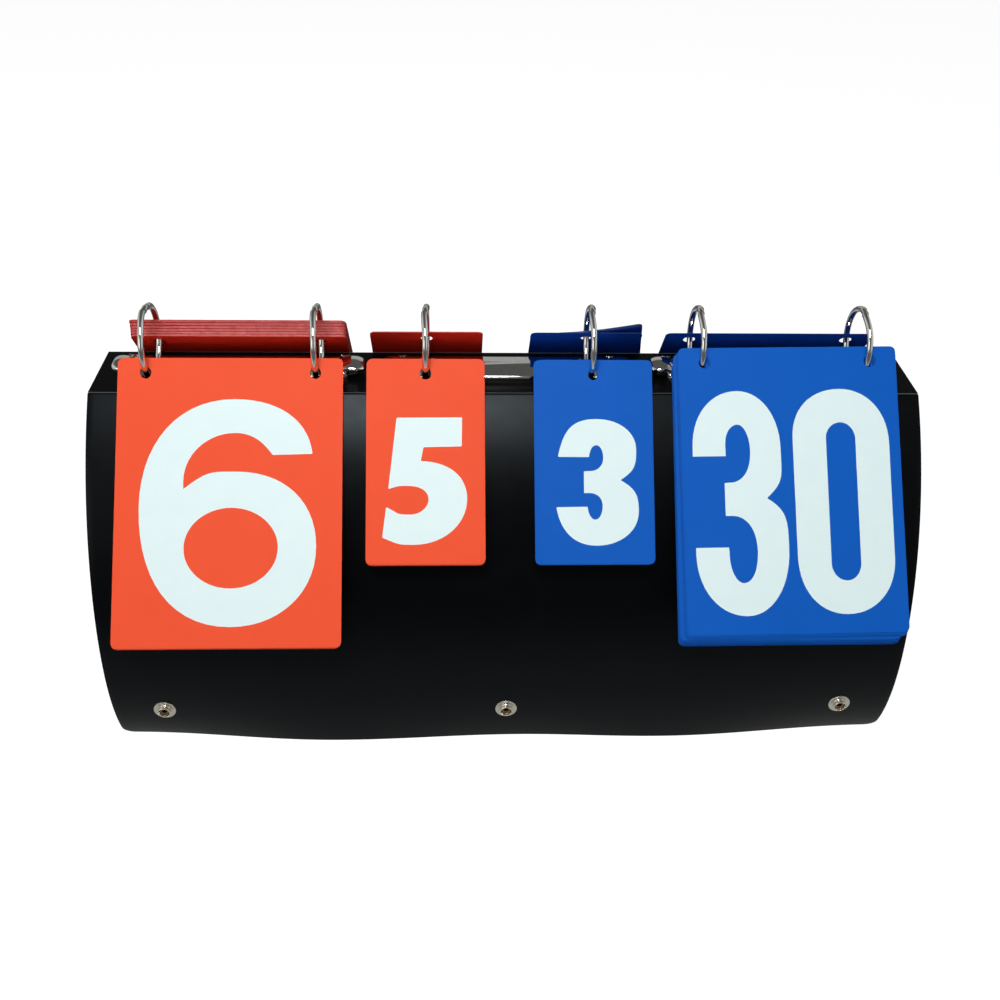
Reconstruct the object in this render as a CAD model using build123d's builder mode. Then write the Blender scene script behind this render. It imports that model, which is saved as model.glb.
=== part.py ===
from build123d import *
from math import cos, radians, sin, sqrt
from typing import NamedTuple
import os

# Tabletop flip scoreboard. A flexible sheet is creased into a tent: a narrow
# spine on top and two bowed panels that stand on their lower edges. Three
# two-ring binder mechanisms are riveted along the spine, and four sets of
# number cards hang on their rings. All sizes are in millimetres. X runs along
# the spine, Y from the front panel to the rear one, and Z up from the table.
# The origin is the middle of the footprint, on the table.

# ---------------------------------------------------------------- the sheet
SHEET_WIDTH = 400.0
SHEET_THICKNESS = 1.2
SPINE_WIDTH = 41.0
PANEL_LENGTH = 193.0  # along the bowed panel, from crease to foot
LEAN_AT_CREASE = 46.0  # degrees from the vertical
LEAN_AT_FOOT = -9.0
FOOT_CORNER_RADIUS = 6.0
CREASE_GAP = 0.15  # on each side of the crease line
CREASE_BEVEL = 0.9  # how much more is taken off the panel's inner face

# ----------------------------------------------------------------- the snaps
SNAP_POSITIONS = (-174.0, 0.0, 174.0)  # along the spine's direction
SNAP_UP = 24.6  # from the foot, along the sheet
SNAP_HOLE_RADIUS = 1.75
STUD_FLANGE_RADIUS = 5.5
STUD_FLANGE = 0.6
STUD_NECK_RADIUS = 2.9
STUD_HUB_RADIUS = 3.3
STUD_HEIGHT = 2.6
STUD_EDGE_ROUND = 0.6
POST_RADIUS = 1.6
POST_BORE_RADIUS = 1.2
POST_FLANGE_RADIUS = 4.2
POST_FLANGE = 0.5
SOCKET_RADIUS = 5.8
SOCKET_HEIGHT = 2.8
SOCKET_MOUTH_RADIUS = 3.45
SOCKET_FLOOR = 0.6
SOCKET_EDGE_ROUND = 0.7
CAP_RADIUS = 6.2
CAP_THICKNESS = 0.7
CAP_EDGE_ROUND = 0.5
POST_CLEARANCE = 0.1  # around a post, in the stud or socket that it holds
CLINCH_GAP = 0.02  # under a clinched post's head
CLINCH_HEAD = 0.3
CLINCH_OVERLAP = 0.6  # how far the head reaches past the post
INNER_FACE_RELIEF = 0.12  # a flat flange stands this far off the hollow face

# ----------------------------------------------------- the ring mechanisms
MECHANISM_PITCH = 132.5
RING_SPACING = 80.0
RING_RADIUS = 17.0  # to the middle of the wire
RING_HEIGHT = 16.5  # ring centre above the spine
WIRE_RADIUS = 1.5
RING_FOOT_ANGLE = 150.0  # from the top of the ring to its foot under the cover
CLASP_ANGLE = 3.0  # half the length of the interlocking tongues at the top
CLASP_END_ANGLE = 0.25  # between a tongue's end and the other half ring
CLASP_GAP = 0.06
FOOT_TAB_WIDTH = 3.0
FOOT_TAB_THICKNESS = 0.9
FOOT_TAB_REACH = 4.8  # distance of the tab's inner end from the centre line
FOOT_TAB_OVERHANG = 0.6  # beyond the middle of the wire

COVER_LENGTH = 100.0
COVER_HALF_WIDTH = 10.5
COVER_SHOULDER = 3.4
COVER_CREST = 4.6
COVER_CREST_HALF_WIDTH = 6.0
COVER_THICKNESS = 0.7
COVER_SHOULDER_ROUND = 1.5
COVER_CREST_ROUND = 6.0
RING_SLOT_WIDTH = 4.2
RING_SLOT_INNER = 4.4  # the slot's inner end, from the centre line
EAR_LENGTH = 4.4
EAR_HEIGHT = 3.9

BLADE_OUTER = 7.5
BLADE_INNER = 0.1
BLADE_BOTTOM = 1.2
BLADE_THICKNESS = 0.7
BLADE_NOTCH_RADIUS = 2.7

LEVER_PIVOT_X = 52.2  # from the middle of the mechanism
LEVER_PIVOT_Z = 2.2
LEVER_BARREL_RADIUS = 1.6
LEVER_BARREL_LENGTH = 19.0
LEVER_PADDLE_WIDTH = 13.6
LEVER_PADDLE_THICKNESS = 1.1
LEVER_PADDLE_ROUND = 4.2
LEVER_TIP_X = 9.4  # from the pivot
LEVER_TIP_Z = 6.2
LEVER_ROOT_Z = 0.5
LEVER_SAG = 1.9  # how far the paddle bows below its chord
TONGUE_WIDTH = 2.4
TONGUE_REACH = 2.5
TONGUE_TOP = -1.6  # below the pivot
TONGUE_THICKNESS = 0.5
PIN_RADIUS = 0.8
PIN_CLEARANCE = 0.05
PIN_HEAD_RADIUS = 1.4
PIN_HEAD = 0.5

RIVET_X = 43.0
RIVET_RADIUS = 1.5
RIVET_CLEARANCE = 0.1
RIVET_HEAD_RADIUS = 2.7
RIVET_HEAD = 1.0
RIVET_HEAD_ROUND = 0.8
RIVET_TAIL = 0.7

# ------------------------------------------------------------------ the cards
CARD_THICKNESS = 0.20
CARD_PITCH = 0.21  # from one card to the next in a stack
CARD_HOLE_RADIUS = 3.0
CARD_HOLE_INSET = 7.0  # hole centre below the card's upper edge
CARD_CORNER_RADIUS = 3.0
CARD_WIRE_GAP = 0.08  # between the wire and the edge of the hole it bears on
BIG_CARD = (105.5, 137.0)
SMALL_CARD = (56.0, 98.5)
PANEL_CARD_GAP = 0.3
FRONT_LEAN = 41.0
REAR_LEAN = 37.0
REAR_STACK_LEAN = 39.5
STACK_JITTER = 0.35  # cards in a stack hang up to this much to either side
STACK_JITTER_STEP = 2.4  # radians of its sine from one card to the next

# --------------------------------------------------------- worked out sizes
PANEL_RADIUS = PANEL_LENGTH / radians(LEAN_AT_CREASE - LEAN_AT_FOOT)
SPINE_TOP = PANEL_RADIUS * (sin(radians(LEAN_AT_CREASE)) - sin(radians(LEAN_AT_FOOT)))
CREASE_OUT = SPINE_WIDTH / 2
RING_Z = SPINE_TOP + RING_HEIGHT
BLADE_PIVOT_Z = SPINE_TOP + BLADE_BOTTOM + BLADE_THICKNESS / 2

FRONT = -1
REAR = 1


class CardSet(NamedTuple):
    """One column of number cards."""

    name: str
    middle: float  # in X
    size: tuple
    holes: tuple  # in X, from the middle of the card
    behind: int  # cards in the front stack behind the shown one
    at_rear: int
    rear_lean: float
    shown_shift: float  # how far the shown card hangs to the right


CARD_SETS = (
    CardSet("red_points", -MECHANISM_PITCH, BIG_CARD, (-40.0, 40.0), 6, 24, REAR_STACK_LEAN, 0.2),
    CardSet("red_sets", -RING_SPACING / 2, SMALL_CARD, (0.0,), 5, 2, REAR_LEAN, -0.4),
    CardSet("blue_sets", RING_SPACING / 2, SMALL_CARD, (0.0,), 3, 4, REAR_LEAN, 0.3),
    CardSet("blue_points", MECHANISM_PITCH, BIG_CARD, (-40.0, 40.0), 30, 1, REAR_LEAN, 0.4),
)


def first_card_distance(lean):
    """How far a ring's centre line is from the card that lies on the panel."""
    to_crease = CREASE_OUT * cos(radians(lean)) - RING_HEIGHT * sin(radians(lean))
    bulge = PANEL_RADIUS * (1 - cos(radians(LEAN_AT_CREASE - lean)))
    return to_crease + bulge + PANEL_CARD_GAP + CARD_THICKNESS / 2


def hole_below_axis(distance):
    """Where the hole's centre hangs on the wire, measured down the card.

    The measure starts at the foot of the perpendicular from the ring's centre.
    """
    inner_wire = RING_RADIUS - WIRE_RADIUS
    wire_top = sqrt(inner_wire**2 - (distance + CARD_THICKNESS / 2) ** 2)
    return wire_top - CARD_WIRE_GAP + CARD_HOLE_RADIUS


def card_reach(lean, distance, height):
    """How far the card's lower edge stands out from the ring's centre line."""
    lower_edge = hole_below_axis(distance) - CARD_HOLE_INSET + height
    return (distance + CARD_THICKNESS / 2) * cos(radians(lean)) + lower_edge * sin(radians(lean))


def stack_distance(lean, index):
    return first_card_distance(lean) + index * CARD_PITCH


def front_reach(card_set):
    shown_distance = stack_distance(FRONT_LEAN, card_set.behind)
    return card_reach(FRONT_LEAN, shown_distance, card_set.size[1])


def rear_reach(card_set):
    lean = card_set.rear_lean
    distances = [stack_distance(lean, index) for index in range(card_set.at_rear)]
    return max(card_reach(lean, distance, card_set.size[1]) for distance in distances)


FRONT_REACH = max(front_reach(card_set) for card_set in CARD_SETS)
REAR_REACH = max(rear_reach(card_set) for card_set in CARD_SETS)
# the spine is a little off the middle, because the two rows of cards differ
SPINE_Y = (FRONT_REACH - REAR_REACH) / 2

os.makedirs("parts", exist_ok=True)


def finish(builder, label):
    builder.part.label = label
    export_step(builder.part, f"parts/{label}.step")


def sheet_plane(side, up_from_foot, depth=0.0):
    """A plane on a panel's outer face, facing outwards, or depth below it."""
    angle = radians(LEAN_AT_FOOT) + up_from_foot / PANEL_RADIUS
    crease = radians(LEAN_AT_CREASE)
    out = PANEL_RADIUS * (cos(angle) - cos(crease)) - depth * cos(angle)
    rise = PANEL_RADIUS * (sin(angle) - sin(crease)) - depth * sin(angle)
    origin = (0, SPINE_Y + side * (CREASE_OUT + out), SPINE_TOP + rise)
    return Plane(origin=origin, x_dir=(1, 0, 0), z_dir=(0, side * cos(angle), sin(angle)))


def card_plane(side, lean, distance, middle):
    """A plane through a hanging card: its origin is on the line of the holes."""
    out, up = cos(radians(lean)), sin(radians(lean))
    down = hole_below_axis(distance)
    origin = (
        middle,
        SPINE_Y + side * (distance * out + down * up),
        RING_Z + distance * up - down * out,
    )
    # the local Y axis points up the card, towards its upper edge
    normal = Vector(0, side * out, up)
    uphill = Vector(0, -side * up, out)
    return Plane(origin=origin, x_dir=uphill.cross(normal), z_dir=normal)


# ================================================================== the sheet
with BuildPart() as spine_panel:
    with BuildSketch(Plane.YZ.offset(-SHEET_WIDTH / 2)):
        half = CREASE_OUT - CREASE_GAP
        with BuildLine():
            Polyline(
                (SPINE_Y - half, SPINE_TOP),
                (SPINE_Y + half, SPINE_TOP),
                (SPINE_Y + half - SHEET_THICKNESS, SPINE_TOP - SHEET_THICKNESS),
                (SPINE_Y - half + SHEET_THICKNESS, SPINE_TOP - SHEET_THICKNESS),
                close=True,
            )
        make_face()
    extrude(amount=SHEET_WIDTH)
    with BuildSketch(Plane.XY.offset(SPINE_TOP)):
        with Locations((0, SPINE_Y)):
            with GridLocations(MECHANISM_PITCH, 1, 3, 1):
                with GridLocations(2 * RIVET_X, 1, 2, 1):
                    Circle(RIVET_RADIUS + RIVET_CLEARANCE)
    extrude(amount=-2 * SHEET_THICKNESS, mode=Mode.SUBTRACT)
finish(spine_panel, "spine_panel")


def bowed_panel(side):
    """A panel of the sheet, bowed outwards, with its snap holes."""
    centre = (
        SPINE_Y + side * (CREASE_OUT - PANEL_RADIUS * cos(radians(LEAN_AT_CREASE))),
        SPINE_TOP - PANEL_RADIUS * sin(radians(LEAN_AT_CREASE)),
    )
    inner_radius = PANEL_RADIUS - SHEET_THICKNESS

    def around(radius, lean):
        return (centre[0] + side * radius * cos(lean), centre[1] + radius * sin(lean))

    outer_top = radians(LEAN_AT_CREASE) - CREASE_GAP / PANEL_RADIUS
    inner_top = outer_top - CREASE_BEVEL / inner_radius
    foot = radians(LEAN_AT_FOOT)
    with BuildPart() as panel:
        with BuildSketch(Plane.YZ.offset(-SHEET_WIDTH / 2)):
            with BuildLine():
                ThreePointArc(
                    around(PANEL_RADIUS, foot),
                    around(PANEL_RADIUS, (foot + outer_top) / 2),
                    around(PANEL_RADIUS, outer_top),
                )
                Line(around(PANEL_RADIUS, outer_top), around(inner_radius, inner_top))
                ThreePointArc(
                    around(inner_radius, inner_top),
                    around(inner_radius, (foot + inner_top) / 2),
                    around(inner_radius, foot),
                )
                Line(around(inner_radius, foot), around(PANEL_RADIUS, foot))
            make_face()
        extrude(amount=SHEET_WIDTH)
        short_edges = panel.edges().filter_by(lambda edge: edge.length < 1.1 * SHEET_THICKNESS)
        fillet(short_edges.sort_by(Axis.Z)[:2], radius=FOOT_CORNER_RADIUS)
        with BuildSketch(sheet_plane(side, SNAP_UP)):
            with Locations(*[(x, 0) for x in SNAP_POSITIONS]):
                Circle(SNAP_HOLE_RADIUS)
        extrude(amount=3 * SHEET_THICKNESS, both=True, mode=Mode.SUBTRACT)
    return panel


finish(bowed_panel(FRONT), "front_panel")
finish(bowed_panel(REAR), "rear_panel")

# ================================================================== the snaps
front_face = sheet_plane(FRONT, SNAP_UP)
front_back = sheet_plane(FRONT, SNAP_UP, SHEET_THICKNESS + INNER_FACE_RELIEF)
rear_face = sheet_plane(REAR, SNAP_UP)
rear_back = sheet_plane(REAR, SNAP_UP, SHEET_THICKNESS + INNER_FACE_RELIEF)


def snap_points():
    return Locations(*[(x, 0) for x in SNAP_POSITIONS])


with BuildPart() as snap_studs:
    with BuildSketch(front_face):
        with snap_points():
            Circle(STUD_FLANGE_RADIUS)
    extrude(amount=STUD_FLANGE)
    with BuildSketch(front_face):
        with snap_points():
            Circle(STUD_NECK_RADIUS)
    extrude(amount=STUD_HEIGHT)
    with BuildSketch(front_face.offset(STUD_HEIGHT / 2)):
        with snap_points():
            Circle(STUD_HUB_RADIUS)
    extrude(amount=STUD_HEIGHT / 2)
    top_rims = snap_studs.edges().filter_by(GeomType.CIRCLE).group_by(Axis.Y)[0]
    fillet(top_rims, radius=STUD_EDGE_ROUND)
    with BuildSketch(front_face):
        with snap_points():
            Circle(POST_RADIUS + POST_CLEARANCE)
    extrude(amount=STUD_HEIGHT, mode=Mode.SUBTRACT)
finish(snap_studs, "snap_studs")

with BuildPart() as snap_stud_posts:
    with BuildSketch(front_back):
        with snap_points():
            Circle(POST_FLANGE_RADIUS)
    extrude(amount=-POST_FLANGE)
    with BuildSketch(front_back):
        with snap_points():
            Circle(POST_RADIUS)
    extrude(amount=SHEET_THICKNESS + INNER_FACE_RELIEF + STUD_HEIGHT + CLINCH_GAP)
    with BuildSketch(front_face.offset(STUD_HEIGHT + CLINCH_GAP)):
        with snap_points():
            Circle(POST_RADIUS + CLINCH_OVERLAP)
    extrude(amount=CLINCH_HEAD)
    with BuildSketch(front_back.offset(-POST_FLANGE)):
        with snap_points():
            Circle(POST_BORE_RADIUS)
    extrude(amount=POST_FLANGE + SHEET_THICKNESS + 2 * STUD_HEIGHT, mode=Mode.SUBTRACT)
finish(snap_stud_posts, "snap_stud_posts")

with BuildPart() as snap_sockets:
    with BuildSketch(rear_face):
        with snap_points():
            Circle(SOCKET_RADIUS)
    extrude(amount=SOCKET_HEIGHT)
    rims = snap_sockets.edges().filter_by(GeomType.CIRCLE).group_by(Axis.Y)[-1]
    fillet(rims, radius=SOCKET_EDGE_ROUND)
    with BuildSketch(rear_face.offset(SOCKET_FLOOR)):
        with snap_points():
            Circle(SOCKET_MOUTH_RADIUS)
    extrude(amount=SOCKET_HEIGHT, mode=Mode.SUBTRACT)
    with BuildSketch(rear_face):
        with snap_points():
            Circle(POST_RADIUS + POST_CLEARANCE)
    extrude(amount=SOCKET_HEIGHT, mode=Mode.SUBTRACT)
finish(snap_sockets, "snap_sockets")

with BuildPart() as snap_socket_caps:
    with BuildSketch(rear_back):
        with snap_points():
            Circle(CAP_RADIUS)
    extrude(amount=-CAP_THICKNESS)
    cap_rims = snap_socket_caps.edges().filter_by(GeomType.CIRCLE).group_by(Axis.Y)[0]
    fillet(cap_rims, radius=CAP_EDGE_ROUND)
    with BuildSketch(rear_back):
        with snap_points():
            Circle(POST_RADIUS)
    extrude(amount=SHEET_THICKNESS + INNER_FACE_RELIEF + SOCKET_FLOOR + CLINCH_GAP)
    with BuildSketch(rear_face.offset(SOCKET_FLOOR + CLINCH_GAP)):
        with snap_points():
            Circle(POST_RADIUS + CLINCH_OVERLAP)
    extrude(amount=CLINCH_HEAD)
finish(snap_socket_caps, "snap_socket_caps")


# ===================================================== the ring mechanisms
def arch_points(inset):
    """Corners of the cover's arched section, inset from its outer face."""
    wall = COVER_HALF_WIDTH - inset
    shoulder = SPINE_TOP + COVER_SHOULDER - inset
    crest = SPINE_TOP + COVER_CREST - inset
    crest_half = COVER_CREST_HALF_WIDTH
    return [
        (SPINE_Y - wall, SPINE_TOP),
        (SPINE_Y - wall, shoulder),
        (SPINE_Y - crest_half, crest),
        (SPINE_Y + crest_half, crest),
        (SPINE_Y + wall, shoulder),
        (SPINE_Y + wall, SPINE_TOP),
    ]


def cover(middle):
    """The arched cover plate, with slots for the wires and ears for the levers."""
    ear_middle = (COVER_LENGTH + EAR_LENGTH) / 2
    slot_length = COVER_HALF_WIDTH - RING_SLOT_INNER + RING_SLOT_WIDTH
    with BuildPart() as plate:
        with BuildSketch(Plane.YZ.offset(middle - COVER_LENGTH / 2)):
            for inset, mode in ((0, Mode.ADD), (COVER_THICKNESS, Mode.SUBTRACT)):
                corners = arch_points(inset)
                shoulder_round = COVER_SHOULDER_ROUND - inset
                crest_round = COVER_CREST_ROUND - inset
                with BuildLine():
                    FilletPolyline(
                        *corners, radius=[shoulder_round, crest_round, crest_round, shoulder_round]
                    )
                    Line(corners[-1], corners[0])
                make_face(mode=mode)
        extrude(amount=COVER_LENGTH)
        with BuildSketch(Plane.XY.offset(SPINE_TOP)):
            with Locations((middle, SPINE_Y)):
                with GridLocations(2 * ear_middle, 2 * COVER_HALF_WIDTH - COVER_THICKNESS, 2, 2):
                    Rectangle(EAR_LENGTH, COVER_THICKNESS)
        extrude(amount=EAR_HEIGHT)
        with BuildSketch(Plane.XZ.offset(-SPINE_Y)):
            with Locations((middle, SPINE_TOP + LEVER_PIVOT_Z)):
                with GridLocations(2 * LEVER_PIVOT_X, 1, 2, 1):
                    Circle(PIN_RADIUS + PIN_CLEARANCE)
        extrude(amount=2 * COVER_HALF_WIDTH, both=True, mode=Mode.SUBTRACT)
        with BuildSketch(Plane.XY.offset(SPINE_TOP)):
            with Locations((middle, SPINE_Y)):
                with GridLocations(RING_SPACING, 2 * RING_SLOT_INNER + slot_length, 2, 2):
                    SlotOverall(slot_length, RING_SLOT_WIDTH, rotation=90)
            with Locations((middle, SPINE_Y)):
                with GridLocations(2 * RIVET_X, 1, 2, 1):
                    Circle(RIVET_RADIUS + RIVET_CLEARANCE)
        extrude(amount=2 * COVER_CREST, mode=Mode.SUBTRACT)
    return plate


def blade(middle, side):
    """One of the two hinged plates under the cover that carry the rings."""
    width = BLADE_OUTER - BLADE_INNER
    with BuildPart() as plate:
        with BuildSketch(Plane.XY.offset(SPINE_TOP + BLADE_BOTTOM)):
            with Locations((middle, SPINE_Y + side * (BLADE_INNER + width / 2))):
                Rectangle(COVER_LENGTH, width)
            with Locations((middle, SPINE_Y)):
                with GridLocations(2 * RIVET_X, 1, 2, 1):
                    Circle(BLADE_NOTCH_RADIUS, mode=Mode.SUBTRACT)
        extrude(amount=BLADE_THICKNESS)
    return plate


def wire_plane(x, angle, side):
    """The plane across the wire at an angle from the ring's top."""
    turn = radians(angle)
    origin = (x, SPINE_Y + side * RING_RADIUS * sin(turn), RING_Z + RING_RADIUS * cos(turn))
    return Plane(origin=origin, x_dir=(-side, 0, 0), z_dir=(0, side * cos(turn), -sin(turn)))


def half_rings(middle, side):
    """The two half rings on one blade, with clasp tongues and foot tabs."""
    turn_axis = Axis((middle, SPINE_Y, RING_Z), (-side, 0, 0))
    tab_outer = RING_RADIUS * sin(radians(RING_FOOT_ANGLE)) + FOOT_TAB_OVERHANG
    tab_length = tab_outer - FOOT_TAB_REACH
    tab_bottom = SPINE_TOP + BLADE_BOTTOM + BLADE_THICKNESS
    with BuildPart() as wires:
        for x in (middle - RING_SPACING / 2, middle + RING_SPACING / 2):
            with BuildSketch(wire_plane(x, CLASP_ANGLE, side)):
                Circle(WIRE_RADIUS)
            revolve(axis=turn_axis, revolution_arc=RING_FOOT_ANGLE - CLASP_ANGLE)
            with BuildSketch(wire_plane(x, CLASP_END_ANGLE - CLASP_ANGLE, side)):
                Circle(WIRE_RADIUS)
                with Locations((-(WIRE_RADIUS + CLASP_GAP), 0)):
                    Rectangle(2 * WIRE_RADIUS, 2 * WIRE_RADIUS, mode=Mode.INTERSECT)
            revolve(axis=turn_axis, revolution_arc=2 * CLASP_ANGLE - CLASP_END_ANGLE)
        with BuildSketch(Plane.XY.offset(tab_bottom)):
            with Locations((middle, SPINE_Y + side * (tab_outer - tab_length / 2))):
                with GridLocations(RING_SPACING, 1, 2, 1):
                    Rectangle(FOOT_TAB_WIDTH, tab_length)
        extrude(amount=FOOT_TAB_THICKNESS)
    return wires


def lever(middle, end):
    """An end lever: a bowed paddle, a pivot barrel and a lifting tongue."""
    pivot = Vector(middle + end * LEVER_PIVOT_X, SPINE_Y, SPINE_TOP + LEVER_PIVOT_Z)
    chord = sqrt(LEVER_TIP_X**2 + LEVER_TIP_Z**2)
    sag_x = LEVER_SAG * LEVER_TIP_Z / chord
    sag_z = LEVER_SAG * LEVER_TIP_X / chord
    outline_length = 2 * (LEVER_TIP_X + LEVER_PADDLE_THICKNESS)

    def at(out, up):
        return (pivot.X + end * out, pivot.Z + up)

    with BuildPart() as handle:
        with BuildSketch(Plane.XZ.offset(-SPINE_Y - LEVER_PADDLE_WIDTH / 2)):
            with BuildLine():
                ThreePointArc(
                    at(0, LEVER_ROOT_Z),
                    at(LEVER_TIP_X / 2 + sag_x, LEVER_TIP_Z / 2 - sag_z + LEVER_ROOT_Z),
                    at(LEVER_TIP_X, LEVER_TIP_Z),
                )
            trace(line_width=LEVER_PADDLE_THICKNESS)
        extrude(amount=LEVER_PADDLE_WIDTH)
        with BuildSketch(Plane.XY.offset(pivot.Z - LEVER_BARREL_RADIUS)):
            with Locations((pivot.X, SPINE_Y)):
                RectangleRounded(outline_length, LEVER_PADDLE_WIDTH, LEVER_PADDLE_ROUND)
        extrude(amount=3 * LEVER_TIP_Z, mode=Mode.INTERSECT)
        with BuildSketch(Plane.XZ.offset(-SPINE_Y - LEVER_BARREL_LENGTH / 2)):
            with Locations((pivot.X, pivot.Z)):
                Circle(LEVER_BARREL_RADIUS)
        extrude(amount=LEVER_BARREL_LENGTH)
        with BuildSketch(Plane.XY.offset(pivot.Z + TONGUE_TOP)):
            with Locations((pivot.X - end * TONGUE_REACH / 2, SPINE_Y)):
                Rectangle(TONGUE_REACH, TONGUE_WIDTH)
        extrude(amount=-TONGUE_THICKNESS)
        with BuildSketch(Plane.XY.offset(pivot.Z + TONGUE_TOP)):
            with Locations((pivot.X, SPINE_Y)):
                Rectangle(LEVER_BARREL_RADIUS, TONGUE_WIDTH)
        extrude(amount=LEVER_BARREL_RADIUS / 2)
        with BuildSketch(Plane.XZ.offset(-SPINE_Y)):
            with Locations((pivot.X, pivot.Z)):
                Circle(PIN_RADIUS + PIN_CLEARANCE)
        extrude(amount=LEVER_BARREL_LENGTH, both=True, mode=Mode.SUBTRACT)
    return handle


def lever_pins(middle):
    """The two headed pins through the cover's ears."""
    shank_half = COVER_HALF_WIDTH + PIN_CLEARANCE
    with BuildPart() as pins:
        with BuildSketch(Plane.XZ.offset(-SPINE_Y)):
            with Locations((middle, SPINE_TOP + LEVER_PIVOT_Z)):
                with GridLocations(2 * LEVER_PIVOT_X, 1, 2, 1):
                    Circle(PIN_HEAD_RADIUS)
        extrude(amount=shank_half + PIN_HEAD, both=True)
        with BuildSketch(Plane.XZ.offset(-SPINE_Y)):
            with Locations((middle, SPINE_TOP + LEVER_PIVOT_Z)):
                with GridLocations(2 * LEVER_PIVOT_X, 1, 2, 1):
                    Circle(2 * PIN_HEAD_RADIUS)
                    Circle(PIN_RADIUS, mode=Mode.SUBTRACT)
        extrude(amount=shank_half, both=True, mode=Mode.SUBTRACT)
    return pins


def rivets(middle):
    """The two domed rivets that hold a mechanism to the spine."""
    head_bottom = SPINE_TOP + COVER_CREST
    tail_top = SPINE_TOP - SHEET_THICKNESS
    with BuildPart() as pair:
        with BuildSketch(Plane.XY.offset(tail_top - RIVET_TAIL)):
            with Locations((middle, SPINE_Y)):
                with GridLocations(2 * RIVET_X, 1, 2, 1):
                    Circle(RIVET_HEAD_RADIUS)
        extrude(amount=RIVET_TAIL)
        with BuildSketch(Plane.XY.offset(head_bottom)):
            with Locations((middle, SPINE_Y)):
                with GridLocations(2 * RIVET_X, 1, 2, 1):
                    Circle(RIVET_HEAD_RADIUS)
        extrude(amount=RIVET_HEAD)
        top_rims = pair.edges().filter_by(GeomType.CIRCLE).group_by(Axis.Z)[-1]
        fillet(top_rims, radius=RIVET_HEAD_ROUND)
        with BuildSketch(Plane.XY.offset(tail_top)):
            with Locations((middle, SPINE_Y)):
                with GridLocations(2 * RIVET_X, 1, 2, 1):
                    Circle(RIVET_RADIUS)
        extrude(amount=head_bottom - tail_top)
    return pair


for place, name in enumerate(("left", "middle", "right")):
    mechanism_x = (place - 1) * MECHANISM_PITCH
    finish(cover(mechanism_x), f"{name}_mechanism_cover")
    finish(blade(mechanism_x, FRONT), f"{name}_front_blade")
    finish(blade(mechanism_x, REAR), f"{name}_rear_blade")
    finish(half_rings(mechanism_x, FRONT), f"{name}_front_half_rings")
    finish(half_rings(mechanism_x, REAR), f"{name}_rear_half_rings")
    finish(lever(mechanism_x, -1), f"{name}_mechanism_left_lever")
    finish(lever(mechanism_x, 1), f"{name}_mechanism_right_lever")
    finish(lever_pins(mechanism_x), f"{name}_lever_pins")
    finish(rivets(mechanism_x), f"{name}_rivets")


# ================================================================== the cards
def sway(index):
    """How far one card of a stack hangs to the side."""
    return STACK_JITTER * sin(STACK_JITTER_STEP * index)


def hanging_cards(card_set, side, lean, shifts):
    """Cards of one stack, each a plate of its own, hung by its holes.

    The shifts are the cards' places in the stack and how far each hangs to
    the right.
    """
    width, height = card_set.size
    with BuildPart() as cards:
        for index, shift in shifts.items():
            place = card_plane(side, lean, stack_distance(lean, index), card_set.middle)
            across = round(place.x_dir.X) * shift
            with BuildSketch(place):
                with Locations((across, CARD_HOLE_INSET - height / 2)):
                    RectangleRounded(width, height, CARD_CORNER_RADIUS)
                with Locations(*[(x + across, 0) for x in card_set.holes]):
                    Circle(CARD_HOLE_RADIUS, mode=Mode.SUBTRACT)
            extrude(amount=CARD_THICKNESS / 2, both=True)
    return cards


for card_set in CARD_SETS:
    top_card = {card_set.behind: card_set.shown_shift}
    finish(hanging_cards(card_set, FRONT, FRONT_LEAN, top_card), f"{card_set.name}_shown_card")
    front_stack = {index: sway(index) for index in range(card_set.behind)}
    finish(hanging_cards(card_set, FRONT, FRONT_LEAN, front_stack), f"{card_set.name}_front_cards")
    rear_stack = {index: sway(index) for index in range(card_set.at_rear)}
    finish(hanging_cards(card_set, REAR, card_set.rear_lean, rear_stack), f"{card_set.name}_rear_cards")

print("spine height", round(SPINE_TOP, 2), "spine offset", round(SPINE_Y, 3))
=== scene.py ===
"""Tabletop flip scoreboard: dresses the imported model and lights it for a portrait."""

import logging
import math
from contextlib import contextmanager
from dataclasses import dataclass, field
from enum import Enum
from typing import Any, Iterable, Iterator, Sequence

import bmesh
import bpy
from mathutils import Euler, Matrix, Vector


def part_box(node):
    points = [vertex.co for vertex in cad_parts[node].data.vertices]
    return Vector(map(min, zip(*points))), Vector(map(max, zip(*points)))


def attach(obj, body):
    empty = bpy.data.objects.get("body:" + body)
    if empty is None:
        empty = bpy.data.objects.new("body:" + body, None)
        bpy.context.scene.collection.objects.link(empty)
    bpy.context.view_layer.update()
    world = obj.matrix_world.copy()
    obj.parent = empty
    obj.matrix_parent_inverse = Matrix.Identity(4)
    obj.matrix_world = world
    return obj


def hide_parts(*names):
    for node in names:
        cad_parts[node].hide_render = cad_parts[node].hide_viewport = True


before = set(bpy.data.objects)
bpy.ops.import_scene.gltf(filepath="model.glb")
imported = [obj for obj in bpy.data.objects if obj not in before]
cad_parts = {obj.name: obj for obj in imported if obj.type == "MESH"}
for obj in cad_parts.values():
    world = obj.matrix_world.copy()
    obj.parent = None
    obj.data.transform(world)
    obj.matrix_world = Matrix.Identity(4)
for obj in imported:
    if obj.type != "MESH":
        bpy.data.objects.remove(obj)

logging.basicConfig(level=logging.INFO, format="%(message)s")
log = logging.getLogger("scoreboard")

MM = 0.001
WELD = 1e-7  # metres within which two vertices are one
SEED_STEP = 101.0  # between the seeds of two draws, so that they are unlike
Point = tuple[float, float]
Place = tuple[float, float, float]
Grain = tuple[float, float]  # the size of a noise's patches in millimetres, and its octaves


class Side(Enum):
    """Which way a panel, a half ring or a card hangs."""

    FRONT = -1
    REAR = 1


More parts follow.
